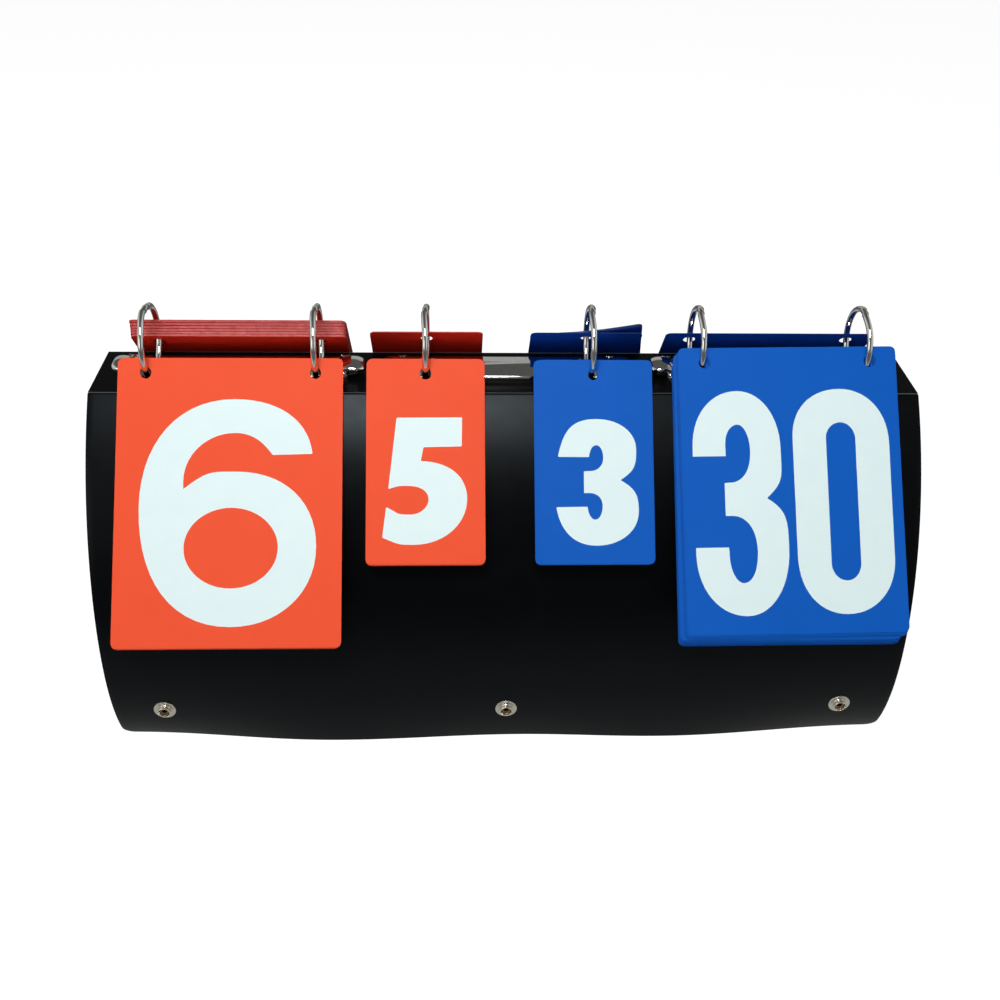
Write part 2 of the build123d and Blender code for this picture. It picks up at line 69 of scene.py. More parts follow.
# ------------------------------------------------------------------ node trees
def to_linear(hex_colour: str) -> tuple[float, float, float, float]:
    """Turn an sRGB hex colour into the linear colour that a node takes.

    Args:
        hex_colour: six hex digits with a leading hash.

    Returns:
        Linear red, green and blue, and an alpha of 1.
    """
    channels = [int(hex_colour[i : i + 2], 16) / 255 for i in (1, 3, 5)]
    linear = [c / 12.92 if c <= 0.04045 else ((c + 0.055) / 1.055) ** 2.4 for c in channels]
    return (linear[0], linear[1], linear[2], 1.0)


def add_node(tree: Any, kind: str, settings: dict[Any, Any] | None = None,
             links: dict[Any, Any] | None = None) -> Any:
    """Add a node, set its properties and inputs, and link its inputs.

    Args:
        tree: the node tree.
        kind: the node's type name.
        settings: a property's or input's name, or an input's number, and its value.
        links: an input's name or number, and the socket to link to it, or the
            node whose first output is linked.

    Returns:
        The new node.
    """
    node = tree.nodes.new(kind)
    settings = settings or {}
    for key, value in settings.items():
        if isinstance(key, str) and key not in node.inputs:
            setattr(node, key, value)
    for key, value in settings.items():
        if not isinstance(key, str) or key in node.inputs:
            node.inputs[key].default_value = value
    for key, source in (links or {}).items():
        socket = source.outputs[0] if isinstance(source, bpy.types.Node) else source
        tree.links.new(socket, node.inputs[key])
    return node


def ramp_outwards(tree: Any, across: Any, start: float, stop: float, low: float = 0.0,
                  high: float = 1.0) -> Any:
    """Return a value that changes as a coordinate leaves zero, on either side.

    Args:
        tree: the node tree.
        across: the coordinate's socket.
        start: how far from zero the change begins.
        stop: how far from zero it ends.
        low: the value before the change.
        high: the value after it.

    Returns:
        The node that gives the value.
    """
    apart = add_node(tree, "ShaderNodeMath", {"operation": "ABSOLUTE"}, {0: across})
    settings = {"From Min": start, "From Max": stop, "To Min": low, "To Max": high}
    return add_node(tree, "ShaderNodeMapRange", settings, {"Value": apart})


def split_rays(tree: Any, camera: Any, mirror: Any, other: Any) -> Any:
    """Return a shader that looks different to the camera and in reflections.

    Args:
        tree: the node tree.
        camera: the shader that the camera sees.
        mirror: the shader that reflections show.
        other: the shader for all other light.

    Returns:
        The node that gives the shader.
    """
    path = add_node(tree, "ShaderNodeLightPath")
    bounce = add_node(tree, "ShaderNodeMixShader", {}, {
        0: path.outputs["Is Glossy Ray"], 1: other, 2: mirror})
    return add_node(tree, "ShaderNodeMixShader", {}, {
        0: path.outputs["Is Camera Ray"], 1: bounce, 2: camera})


# -------------------------------------------------------------------- finishes
@dataclass(frozen=True)
class Finish:
    """A surface finish, made into one material the first time it is asked for.

    Two close colours lie in clouds. Where the gloss is uneven, the roughness runs
    from smooth to rough, and where there is a grain, it bends the light.
    """

    name: str
    first: str
    second: str
    smooth: float = 0.5
    rough: float = 0.5
    gloss: Grain | None = None
    clouds: Grain = (18.0, 3.0)
    grain: Grain | None = None
    depth_mm: float = 0.01
    strength: float = 0.2
    metallic: float = 0.0
    ior: float = 1.5
    specular: float = 0.5
    gleam: str = "#FFFFFF"

    def material(self) -> bpy.types.Material:
        """Return the finish's material."""
        known = bpy.data.materials.get(self.name)
        if known:
            return known
        material = bpy.data.materials.new(self.name)
        material.use_nodes = True
        tree = material.node_tree
        self.dress(tree, tree.nodes["Principled BSDF"])
        return material

    def coordinates(self, tree: Any) -> Any:
        """Return the socket of the piece's own coordinates, in metres."""
        return add_node(tree, "ShaderNodeTexCoord").outputs["Object"]

    def noise(self, tree: Any, grain: Grain) -> Any:
        """Return the factor socket of a noise."""
        size_mm, octaves = grain
        settings = {"Scale": 1 / (size_mm * MM), "Detail": octaves}
        node = add_node(tree, "ShaderNodeTexNoise", settings, {"Vector": self.coordinates(tree)})
        return node.outputs["Fac"]

    def dress(self, tree: Any, shader: Any) -> None:
        """Build the clouds of colour, the uneven gloss and the grain."""
        plain = {"Metallic": self.metallic, "Roughness": self.smooth, "IOR": self.ior,
                 "Specular IOR Level": self.specular, "Specular Tint": to_linear(self.gleam)}
        for label, value in plain.items():
            shader.inputs[label].default_value = value
        colours = {"data_type": "RGBA", 6: to_linear(self.first), 7: to_linear(self.second)}
        clouds = add_node(tree, "ShaderNodeMix", colours, {0: self.noise(tree, self.clouds)})
        tree.links.new(clouds.outputs[2], shader.inputs["Base Color"])
        if self.gloss:
            # most of a noise lies between 0.3 and 0.7
            reach = {"From Min": 0.3, "From Max": 0.7, "To Min": self.smooth, "To Max": self.rough}
            gloss = add_node(tree, "ShaderNodeMapRange", reach,
                             {"Value": self.noise(tree, self.gloss)})
            tree.links.new(gloss.outputs["Result"], shader.inputs["Roughness"])
        if self.grain:
            settings = {"Strength": self.strength, "Distance": self.depth_mm * MM}
            bump = add_node(tree, "ShaderNodeBump", settings,
                            {"Height": self.noise(tree, self.grain)})
            tree.links.new(bump.outputs["Normal"], shader.inputs["Normal"])


@dataclass(frozen=True)
class PolypropyleneSheet(Finish):
    """Extruded black polypropylene sheet with a sand grain.

    The fine grain spreads the light into a broad soft sheen on an almost black
    plastic, and handling leaves it a little uneven.
    """

    name: str = "black_polypropylene"
    first: str = "#030304"
    second: str = "#070708"
    smooth: float = 0.3
    rough: float = 0.35
    gloss: Grain | None = (8.0, 4.0)
    clouds: Grain = (25.0, 3.0)
    grain: Grain | None = (0.5, 1.0)  # the real grain is about 0.2 mm, drawn coarser to show
    depth_mm: float = 0.02
    strength: float = 0.25
    ior: float = 1.49
    specular: float = 0.13
    gleam: str = "#E4F4FC"


@dataclass(frozen=True)
class CreasedSpine(PolypropyleneSheet):
    """The spine's sheet: duller where it was pressed flat, pale along the creases.

    The two thin grey lines along the creases are a painted highlight on the chamfered edges.
    """

    name: str = "creased_black_polypropylene"
    specular: float = 0.05
    middle_mm: float = 1.32
    line_from_mm: float = 20.0
    line_fade_mm: float = 0.15
    painted_highlight_grey: str = "#686C6E"

    def dress(self, tree: Any, shader: Any) -> None:
        """Build the sheet's grain and gloss, then the painted highlight lines at its edges."""
        super().dress(tree, shader)
        black = shader.inputs["Base Color"].links[0].from_socket
        split = add_node(tree, "ShaderNodeSeparateXYZ", {}, {0: self.coordinates(tree)})
        off = add_node(tree, "ShaderNodeMath", {"operation": "SUBTRACT", 1: self.middle_mm * MM},
                       {0: split.outputs["Y"]})
        # painted highlight: the spine's outer edges, where the chamfers lie, are coloured grey
        line = ramp_outwards(tree, off, self.line_from_mm * MM,
                             (self.line_from_mm + self.line_fade_mm) * MM)
        mixed = add_node(tree, "ShaderNodeMix", {
            "data_type": "RGBA", 7: to_linear(self.painted_highlight_grey)}, {0: line, 6: black})
        tree.links.new(mixed.outputs[2], shader.inputs["Base Color"])


@dataclass(frozen=True)
class PrintedCard(Finish):
    """Thin plastic card, screen printed in one solid colour under a satin varnish.

    The print is faintly clouded, and the varnish has a fine grain and little gloss.
    """

    smooth: float = 0.46
    rough: float = 0.54
    gloss: Grain | None = (6.0, 3.0)
    grain: Grain | None = (0.6, 1.0)
    specular: float = 0.06


@dataclass(frozen=True)
class CardEdge(Finish):
    """The cut edge of a printed card, streaked where the knife dragged the print."""

    clouds: Grain = (2.5, 2.0)


@dataclass(frozen=True)
class CardInk(Finish):
    """White screen ink, laid on the coloured print: even, satin and a little cool."""

    name: str = "white_card_ink"
    first: str = "#E6F8F8"
    second: str = "#E0F3F4"
    smooth: float = 0.48
    clouds: Grain = (9.0, 3.0)
    grain: Grain | None = (0.5, 1.0)
    depth_mm: float = 0.008
    specular: float = 0.25


@dataclass(frozen=True)
class PlatedMetal(Finish):
    """Plated steel or bare metal: its tint, an uneven polish and a faint ripple."""

    clouds: Grain = (4.0, 2.0)
    grain: Grain | None = (1.2, 2.0)
    strength: float = 0.3
    metallic: float = 1.0


SHEET_BLACK = PolypropyleneSheet()
SPINE_BLACK = CreasedSpine()
RED_PRINT = PrintedCard("red_card_print", "#F65A38", "#F25634")
# the same red print, made deeper on the cards at the rear: painted shade
RED_PRINT_PAINTED_SHADE = PrintedCard("deep_red_card_print", "#F03220", "#E82C1C")
# cut red cards look paler than their print, where the plastic shows
RED_EDGE = CardEdge("red_card_edge", "#E08A7E", "#C24A40")
RED_BACK_EDGE = CardEdge("deep_red_card_edge", "#EC8480", "#A8242C")
BLUE_PRINT = PrintedCard("blue_card_print", "#105EC2", "#0E5ABA")
# the same blue print, made deeper on the cards at the rear: painted shade
BLUE_PRINT_PAINTED_SHADE = PrintedCard("deep_blue_card_print", "#0A48BC", "#0840AE")
# cut blue card edges, coloured darker than their print: painted shade for the shadowed gaps
# between cards and inside the holes
BLUE_EDGE_PAINTED_SHADE = CardEdge("blue_card_edge", "#1E467F", "#102E60")
WHITE_INK = CardInk()
# bright chrome on the rings, levers and covers: sharp reflections, hardly tinted
CHROME = PlatedMetal("chrome_plate", "#E4E4E0", "#D4D3CC", 0.06, 0.12, (3.0, 4.0), depth_mm=0.004)
# zinc on the hinged blades: grey and cloudy, as it comes from the barrel
ZINC = PlatedMetal("zinc_plate", "#B4B5B2", "#9C9D9A", 0.3, 0.42, (2.0, 4.0))
# nickel on the press studs: warmer than chrome and softly polished
NICKEL = PlatedMetal("nickel_plate", "#DAD6CA", "#C9C4B6", 0.2, 0.3, (1.5, 4.0), depth_mm=0.006)
# bare brass inside the studs, browned by handling
BRASS = PlatedMetal("brown_brass", "#9A7A5A", "#6E5440", 0.28, 0.4, (1.0, 4.0), depth_mm=0.006)


# -------------------------------------------------------------- mesh workshop
def link(obj: bpy.types.Object) -> bpy.types.Object:
    """Put an object into the scene and return it."""
    bpy.context.scene.collection.objects.link(obj)
    return obj


def new_object(name: str, mesh: bpy.types.Mesh) -> bpy.types.Object:
    """Return a new object in the scene that shows the mesh."""
    return link(bpy.data.objects.new(name, mesh))


@contextmanager
def editing(mesh: bpy.types.Mesh) -> Iterator[bmesh.types.BMesh]:
    """Open a mesh for editing, and write it back when the with block ends."""
    work = bmesh.new()
    work.from_mesh(mesh)
    yield work
    work.to_mesh(mesh)
    work.free()


def mesh_from(name: str, corners: Iterable[Vector],
              faces: Iterable[Sequence[int]]) -> bpy.types.Mesh:
    """Return a mesh whose faces all point outwards.

    Args:
        name: the mesh's name.
        corners: its vertices, in metres.
        faces: vertex numbers of each face.

    Returns:
        The mesh.
    """
    mesh = bpy.data.meshes.new(name)
    mesh.from_pydata([tuple(c) for c in corners], [], [tuple(f) for f in faces])
    with editing(mesh) as work:
        bmesh.ops.remove_doubles(work, verts=work.verts, dist=WELD)
        bmesh.ops.recalc_face_normals(work, faces=work.faces)
    return mesh


def finished_mesh(obj: bpy.types.Object) -> bpy.types.Mesh:
    """Return the mesh that an object's modifiers or curve make, and remove the object."""
    graph = bpy.context.evaluated_depsgraph_get()
    mesh = bpy.data.meshes.new_from_object(obj.evaluated_get(graph), depsgraph=graph)
    bpy.data.objects.remove(obj)
    return mesh


def settle(obj: bpy.types.Object, smooth_degrees: float = 35.0) -> bpy.types.Object:
    """Turn an object with modifiers into a plain mesh object of the same name.

    Args:
        obj: the object; it is removed.
        smooth_degrees: edges sharper than this stay sharp.

    Returns:
        The plain object.
    """
    name = obj.name
    mesh = finished_mesh(obj)
    mesh.shade_smooth()
    mesh.set_sharp_from_angle(angle=math.radians(smooth_degrees))
    return new_object(name, mesh)


def round_edges(obj: bpy.types.Object, width_mm: float, segments: int, degrees: float) -> None:
    """Put a bevel on an object's sharp edges.

    Args:
        obj: the object.
        width_mm: the width of the rounding.
        segments: how many faces the rounding has.
        degrees: edges sharper than this are rounded.
    """
    bevel = obj.modifiers.new("edge_round", "BEVEL")
    bevel.width = width_mm * MM
    bevel.segments = segments
    bevel.limit_method = "ANGLE"
    bevel.angle_limit = math.radians(degrees)


def merged_copy(node: str, bevel_mm: float = 0.0, segments: int = 2) -> bpy.types.Object:
    """Copy a CAD node's mesh, join its loose triangles and round its edges.

    Args:
        node: the CAD node.
        bevel_mm: the width of the rounding, or 0 for none.
        segments: how many faces the rounding has.

    Returns:
        A plain object, named after the node.
    """
    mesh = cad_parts[node].data.copy()
    mesh.materials.clear()
    with editing(mesh) as work:
        bmesh.ops.remove_doubles(work, verts=work.verts, dist=10 * WELD)
        bmesh.ops.dissolve_limit(work, angle_limit=math.radians(1.0), verts=work.verts,
                                 edges=work.edges)
    obj = new_object(f"{node}_finished", mesh)
    if bevel_mm:
        round_edges(obj, bevel_mm, segments, 35.0)
    return settle(obj)


def lathe(name: str, profile: Sequence[Point], steps: int = 40) -> bpy.types.Mesh:
    """Turn a closed profile round the Z axis.

    Args:
        name: the mesh's name.
        profile: radius and height of each point, in millimetres.
        steps: how many times it is repeated round the axis.

    Returns:
        The mesh, in metres.
    """
    corners: list[Vector] = []
    faces: list[Sequence[int]] = []
    count = len(profile)
    for step in range(steps):
        turn = 2 * math.pi * step / steps
        corners += [Vector((r * math.cos(turn), r * math.sin(turn), z)) * MM for r, z in profile]
        following = (step + 1) % steps
        for i in range(count):
            j = (i + 1) % count
            faces.append((step * count + i, step * count + j, following * count + j,
                          following * count + i))
    return mesh_from(name, corners, faces)


def rounded(points: Sequence[Point], radius: float, pieces: int = 5) -> list[Point]:
    """Round every corner of a closed run of points.

    Args:
        points: the corners.
        radius: how far from each corner the rounding starts.
        pieces: how many points make one rounding.

    Returns:
        The softened outline.
    """
    soft: list[Point] = []
    count = len(points)
    for i, corner in enumerate(points):
        here = Vector(corner)
        before = Vector(points[i - 1]) - here
        after = Vector(points[(i + 1) % count]) - here
        start = here + before.normalized() * min(radius, before.length / 2)
        end = here + after.normalized() * min(radius, after.length / 2)
        for step in range(pieces + 1):
            t = step / pieces
            spot = start * (1 - t) ** 2 + here * (2 * t * (1 - t)) + end * t**2
            soft.append((spot.x, spot.y))
    return soft


def flat_plate(name: str, outlines: Iterable[Sequence[Point]], thickness: float,
               step: float = 0.0) -> bpy.types.Mesh:
    """Fill outlines, holes included, and give them a thickness.

    Args:
        name: the mesh's name.
        outlines: closed runs of points in millimetres; inner ones become holes.
        thickness: in millimetres, half on each side of the plane.
        step: the widest face in millimetres, so that the plate can curl; 0 is undivided.

    Returns:
        The mesh, in metres, in its own X-Y plane.
    """
    curve = bpy.data.curves.new(name, "CURVE")
    curve.dimensions = "2D"
    curve.fill_mode = "BOTH"
    curve.extrude = thickness / 2 * MM
    for outline in outlines:
        spline = curve.splines.new("POLY")
        spline.points.add(len(outline) - 1)
        for point, (x, y) in zip(spline.points, outline):
            point.co = (x * MM, y * MM, 0, 1)
        spline.use_cyclic_u = True
    mesh = finished_mesh(new_object(name, curve))
    bpy.data.curves.remove(curve)
    with editing(mesh) as work:
        bmesh.ops.remove_doubles(work, verts=work.verts, dist=WELD)
        for axis in (Vector((1, 0, 0)), Vector((0, 1, 0))) if step else ():
            reach = [vertex.co.dot(axis) / (step * MM) for vertex in work.verts]
            # no cut so close to the plate's own edge that it would leave slivers
            for line in range(math.ceil(min(reach) + 0.01), math.ceil(max(reach) - 0.01)):
                bmesh.ops.bisect_plane(work, geom=[*work.verts, *work.edges, *work.faces],
                                       plane_co=axis * (line * step * MM), plane_no=axis)
        bmesh.ops.recalc_face_normals(work, faces=work.faces)
    mesh.materials.clear()
    return mesh


def grid_faces(rows: int, across: int) -> list[tuple[int, ...]]:
    """Return the faces of a net whose vertices are numbered row by row."""
    return [(r * across + c, r * across + c + 1, (r + 1) * across + c + 1, (r + 1) * across + c)
            for r in range(rows - 1) for c in range(across - 1)]


def circle(centre: Point, radius: float, steps: int = 28) -> list[Point]:
    """Return points round a circle."""
    turns = [2 * math.pi * i / steps for i in range(steps)]
    return [(centre[0] + radius * math.cos(t), centre[1] + radius * math.sin(t)) for t in turns]


class NodeModifier:
    """A Geometry Nodes modifier whose tree is built here, with inputs set by name."""

    def __init__(self, name: str, inputs: dict[str, str]) -> None:
        """Start a tree with a geometry input and the named inputs.

        Args:
            name: the tree's name.
            inputs: each input's name and socket type.
        """
        self.tree = bpy.data.node_groups.new(name, "GeometryNodeTree")
        face = self.tree.interface
        face.new_socket("Geometry", in_out="INPUT", socket_type="NodeSocketGeometry")
        for label, kind in inputs.items():
            face.new_socket(label, in_out="INPUT", socket_type=kind)
        face.new_socket("Geometry", in_out="OUTPUT", socket_type="NodeSocketGeometry")
        self.group_in = add_node(self.tree, "NodeGroupInput")

    def node(self, kind: str, settings: dict[Any, Any] | None = None,
             links: dict[Any, Any] | None = None) -> Any:
        """Add a node to the tree and return it."""
        return add_node(self.tree, kind, settings, links)

    def given(self, label: str) -> Any:
        """Return the socket of a named input."""
        return self.group_in.outputs[label]

    def chance(self, spread: str, seed: str, base: Any, draw: int) -> Any:
        """Return a value that chance moves either way from a base.

        Args:
            spread: the named input that holds the most it moves.
            seed: the named input that holds the seed.
            base: the socket of the value without chance.
            draw: which of the seed's draws this is.

        Returns:
            The node that gives the moved value.
        """
        least = self.node("ShaderNodeMath", {"operation": "MULTIPLY", 1: -1.0},
                          {0: self.given(spread)})
        own_seed = self.node("ShaderNodeMath", {"operation": "ADD", 1: SEED_STEP * draw},
                             {0: self.given(seed)})
        drawn = self.node("FunctionNodeRandomValue", {"data_type": "FLOAT"}, {
            2: least, 3: self.given(spread), "Seed": own_seed})
        return self.node("ShaderNodeMath", {"operation": "ADD"}, {0: base, 1: drawn.outputs[1]})

    def repeat(self, part: Any) -> None:
        """End the tree with a copy of the part on every vertex, in the given finish."""
        copies = self.node("GeometryNodeInstanceOnPoints", {}, {
            "Points": self.given("Geometry"), "Instance": part, "Rotation": self.given("Turn")})
        solid = self.node("GeometryNodeRealizeInstances", {}, {"Geometry": copies})
        self.end(self.node("GeometryNodeSetMaterial", {}, {
            "Geometry": solid, "Material": self.given("Finish")}))

    def end(self, geometry: Any) -> None:
        """Make a node's geometry the tree's result."""
        self.node("NodeGroupOutput", {}, {"Geometry": geometry})

    def apply(self, obj: bpy.types.Object, values: dict[str, Any]) -> bpy.types.Object:
        """Put the tree on an object, set its inputs and make the result plain.

        Args:
            obj: the object; it is replaced by the result.
            values: each input's name and value.

        Returns:
            The plain object.
        """
        modifier = obj.modifiers.new(self.tree.name, "NODES")
        modifier.node_group = self.tree
        for item in self.tree.interface.items_tree:
            if item.in_out == "INPUT" and item.name in values:
                modifier[item.identifier] = values[item.name]
        return settle(obj)


def build_row_tree() -> NodeModifier:
    """Return a tree that puts one fastener on every vertex and gives it a finish."""
    row = NodeModifier("fastener_row", {
        "Fastener": "NodeSocketObject", "Turn": "NodeSocketVector",
        "Finish": "NodeSocketMaterial"})
    part = row.node("GeometryNodeObjectInfo", {"As Instance": True},
                    {"Object": row.given("Fastener")})
    row.repeat(part.outputs["Geometry"])
    return row


def build_stack_tree() -> NodeModifier:
    """Return a tree that hangs one card on every vertex of a stack's line.

    Each vertex carries its card's own turn, slide, rise and curl, and a fixed
    seed shuffles the cards a little on top of that.
    """
    stack = NodeModifier("card_stack", {
        "Card": "NodeSocketObject", "Hang": "NodeSocketVector", "Outward": "NodeSocketVector",
        "Shuffle": "NodeSocketFloat", "Sway": "NodeSocketFloat", "Seed": "NodeSocketInt",
        "Curl start": "NodeSocketFloat", "Curl end": "NodeSocketFloat",
        "Print": "NodeSocketMaterial", "Edge": "NodeSocketMaterial"})
    card = stack.node("GeometryNodeObjectInfo", {"As Instance": True},
                      {"Object": stack.given("Card")})
    turn, slide, rise, curl = (
        stack.node("GeometryNodeInputNamedAttribute", {"data_type": "FLOAT", "Name": label})
        .outputs["Attribute"] for label in ("turn", "slide", "rise", "curl"))
    sideways = stack.chance("Shuffle", "Seed", slide, 0)
    askew = stack.chance("Sway", "Seed", turn, 1)
    offset = stack.node("ShaderNodeCombineXYZ", {}, {"X": sideways, "Y": rise})
    twist = stack.node("ShaderNodeCombineXYZ", {}, {"Z": askew})
    copies = stack.node("GeometryNodeInstanceOnPoints", {}, {
        "Points": stack.given("Geometry"), "Instance": card.outputs["Geometry"],
        "Rotation": stack.given("Hang")})
    moved = stack.node("GeometryNodeTranslateInstances", {"Local Space": True}, {
        "Instances": copies, "Translation": offset})
    turned = stack.node("GeometryNodeRotateInstances", {"Local Space": True}, {
        "Instances": moved, "Rotation": twist})
    solid = stack.node("GeometryNodeRealizeInstances", {}, {"Geometry": turned})
    where = stack.node("ShaderNodeSeparateXYZ", {}, {0: stack.node("GeometryNodeInputPosition")})
    share = stack.node("ShaderNodeMapRange", {"interpolation_type": "SMOOTHSTEP"}, {
        "Value": where.outputs["X"], "From Min": stack.given("Curl start"),
        "From Max": stack.given("Curl end")})
    height = stack.node("ShaderNodeMath", {"operation": "MULTIPLY"}, {0: share, 1: curl})
    lift = stack.node("ShaderNodeVectorMath", {"operation": "SCALE"}, {
        0: stack.given("Outward"), "Scale": height})
    curled = stack.node("GeometryNodeSetPosition", {}, {"Geometry": solid, "Offset": lift})
    facing = stack.node("ShaderNodeVectorMath", {"operation": "DOT_PRODUCT"}, {
        0: stack.node("GeometryNodeInputNormal"), 1: stack.given("Outward")})
    either = stack.node("ShaderNodeMath", {"operation": "ABSOLUTE"}, {0: facing.outputs["Value"]})
    # a face that looks outwards or inwards is printed, and any other one is an edge
    is_face = stack.node("ShaderNodeMath", {"operation": "GREATER_THAN", 1: 0.7}, {0: either})
    edged = stack.node("GeometryNodeSetMaterial", {}, {
        "Geometry": curled, "Material": stack.given("Edge")})
    stack.end(stack.node("GeometryNodeSetMaterial", {}, {
        "Geometry": edged, "Selection": is_face, "Material": stack.given("Print")}))
    return stack


def build_wire_tree() -> NodeModifier:
    """Return a tree that bends one half ring at every vertex.

    Each is a round wire from its foot to near the top, and a half round tongue
    that laps past the other half ring's tongue.
    """
    wire = NodeModifier("half_ring_wire", {
        "Ring radius": "NodeSocketFloat", "Wire radius": "NodeSocketFloat",
        "Start angle": "NodeSocketFloat", "Sweep angle": "NodeSocketFloat",
        "Tongue start": "NodeSocketFloat", "Tongue sweep": "NodeSocketFloat",
        "Side step": "NodeSocketFloat", "Turn": "NodeSocketVector",
        "Finish": "NodeSocketMaterial"})
    full_path = wire.node("GeometryNodeCurveArc", {"Resolution": 64}, {
        "Radius": wire.given("Ring radius"), "Start Angle": wire.given("Start angle"),
        "Sweep Angle": wire.given("Sweep angle")})
    along = wire.node("GeometryNodeSplineParameter")
    # the wire steps aside near the clasp and comes back to its middle by a third of its run
    fade = wire.node("ShaderNodeMapRange", {
        "interpolation_type": "SMOOTHSTEP", "From Min": 0.04, "From Max": 0.3, "To Max": 0.0},
        {"Value": along.outputs["Factor"], "To Min": wire.given("Side step")})
    aside = wire.node("ShaderNodeCombineXYZ", {}, {"Z": fade})
    full_bent = wire.node("GeometryNodeSetPosition", {}, {"Geometry": full_path, "Offset": aside})
    full_round = wire.node("GeometryNodeCurvePrimitiveCircle", {"Resolution": 20},
                           {"Radius": wire.given("Wire radius")})
    tongue_path = wire.node("GeometryNodeCurveArc", {"Resolution": 6}, {
        "Radius": wire.given("Ring radius"), "Start Angle": wire.given("Tongue start"),
        "Sweep Angle": wire.given("Tongue sweep")})
    half_round = wire.node("GeometryNodeCurveArc", {
        "Resolution": 12, "Start Angle": 0.0, "Sweep Angle": math.pi, "Connect Center": True},
        {"Radius": wire.given("Wire radius")})
    both = wire.node("GeometryNodeJoinGeometry")
    for path, profile in ((full_bent, full_round), (tongue_path, half_round)):
        swept = wire.node("GeometryNodeCurveToMesh", {"Fill Caps": True}, {
            "Curve": path, "Profile Curve": profile})
        wire.tree.links.new(swept.outputs["Mesh"], both.inputs[0])
    wire.repeat(both)
    return wire


def fit(obj: bpy.types.Object, body: str, nodes: Sequence[str],
        finish: Finish | None = None) -> bpy.types.Object:
    """Hang a finished piece on its body in place of its CAD nodes.

    Args:
        obj: the piece.
        body: the body that it rides on.
        nodes: the CAD nodes that it stands for.
        finish: the piece's finish, where it has none yet.

    Returns:
        The piece.
    """
    if finish:
        obj.data.materials.clear()
        obj.data.materials.append(finish.material())
    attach(obj, body)
    if nodes:
        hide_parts(*nodes)
    log.info("%s rides on %s: %d faces", obj.name, body, len(obj.data.polygons))
    return obj


def coat(node: str, finish: Finish) -> None:
    """Give a CAD node that stays its finish."""
    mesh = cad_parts[node].data
    mesh.materials.clear()
    mesh.materials.append(finish.material())
    log.info("%s keeps its CAD shape", node)


# ------------------------------------------------------------------- the frame
@dataclass(frozen=True)
class Datum:
    """Where the spine's top face and its middle line are, in millimetres."""

    spine_y: float
    spine_top: float

    @classmethod
    def from_frame(cls) -> "Datum":
        """Read the datum from the spine's CAD node."""
        low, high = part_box("spine_panel")
        return cls((low.y + high.y) / 2 / MM, high.z / MM)


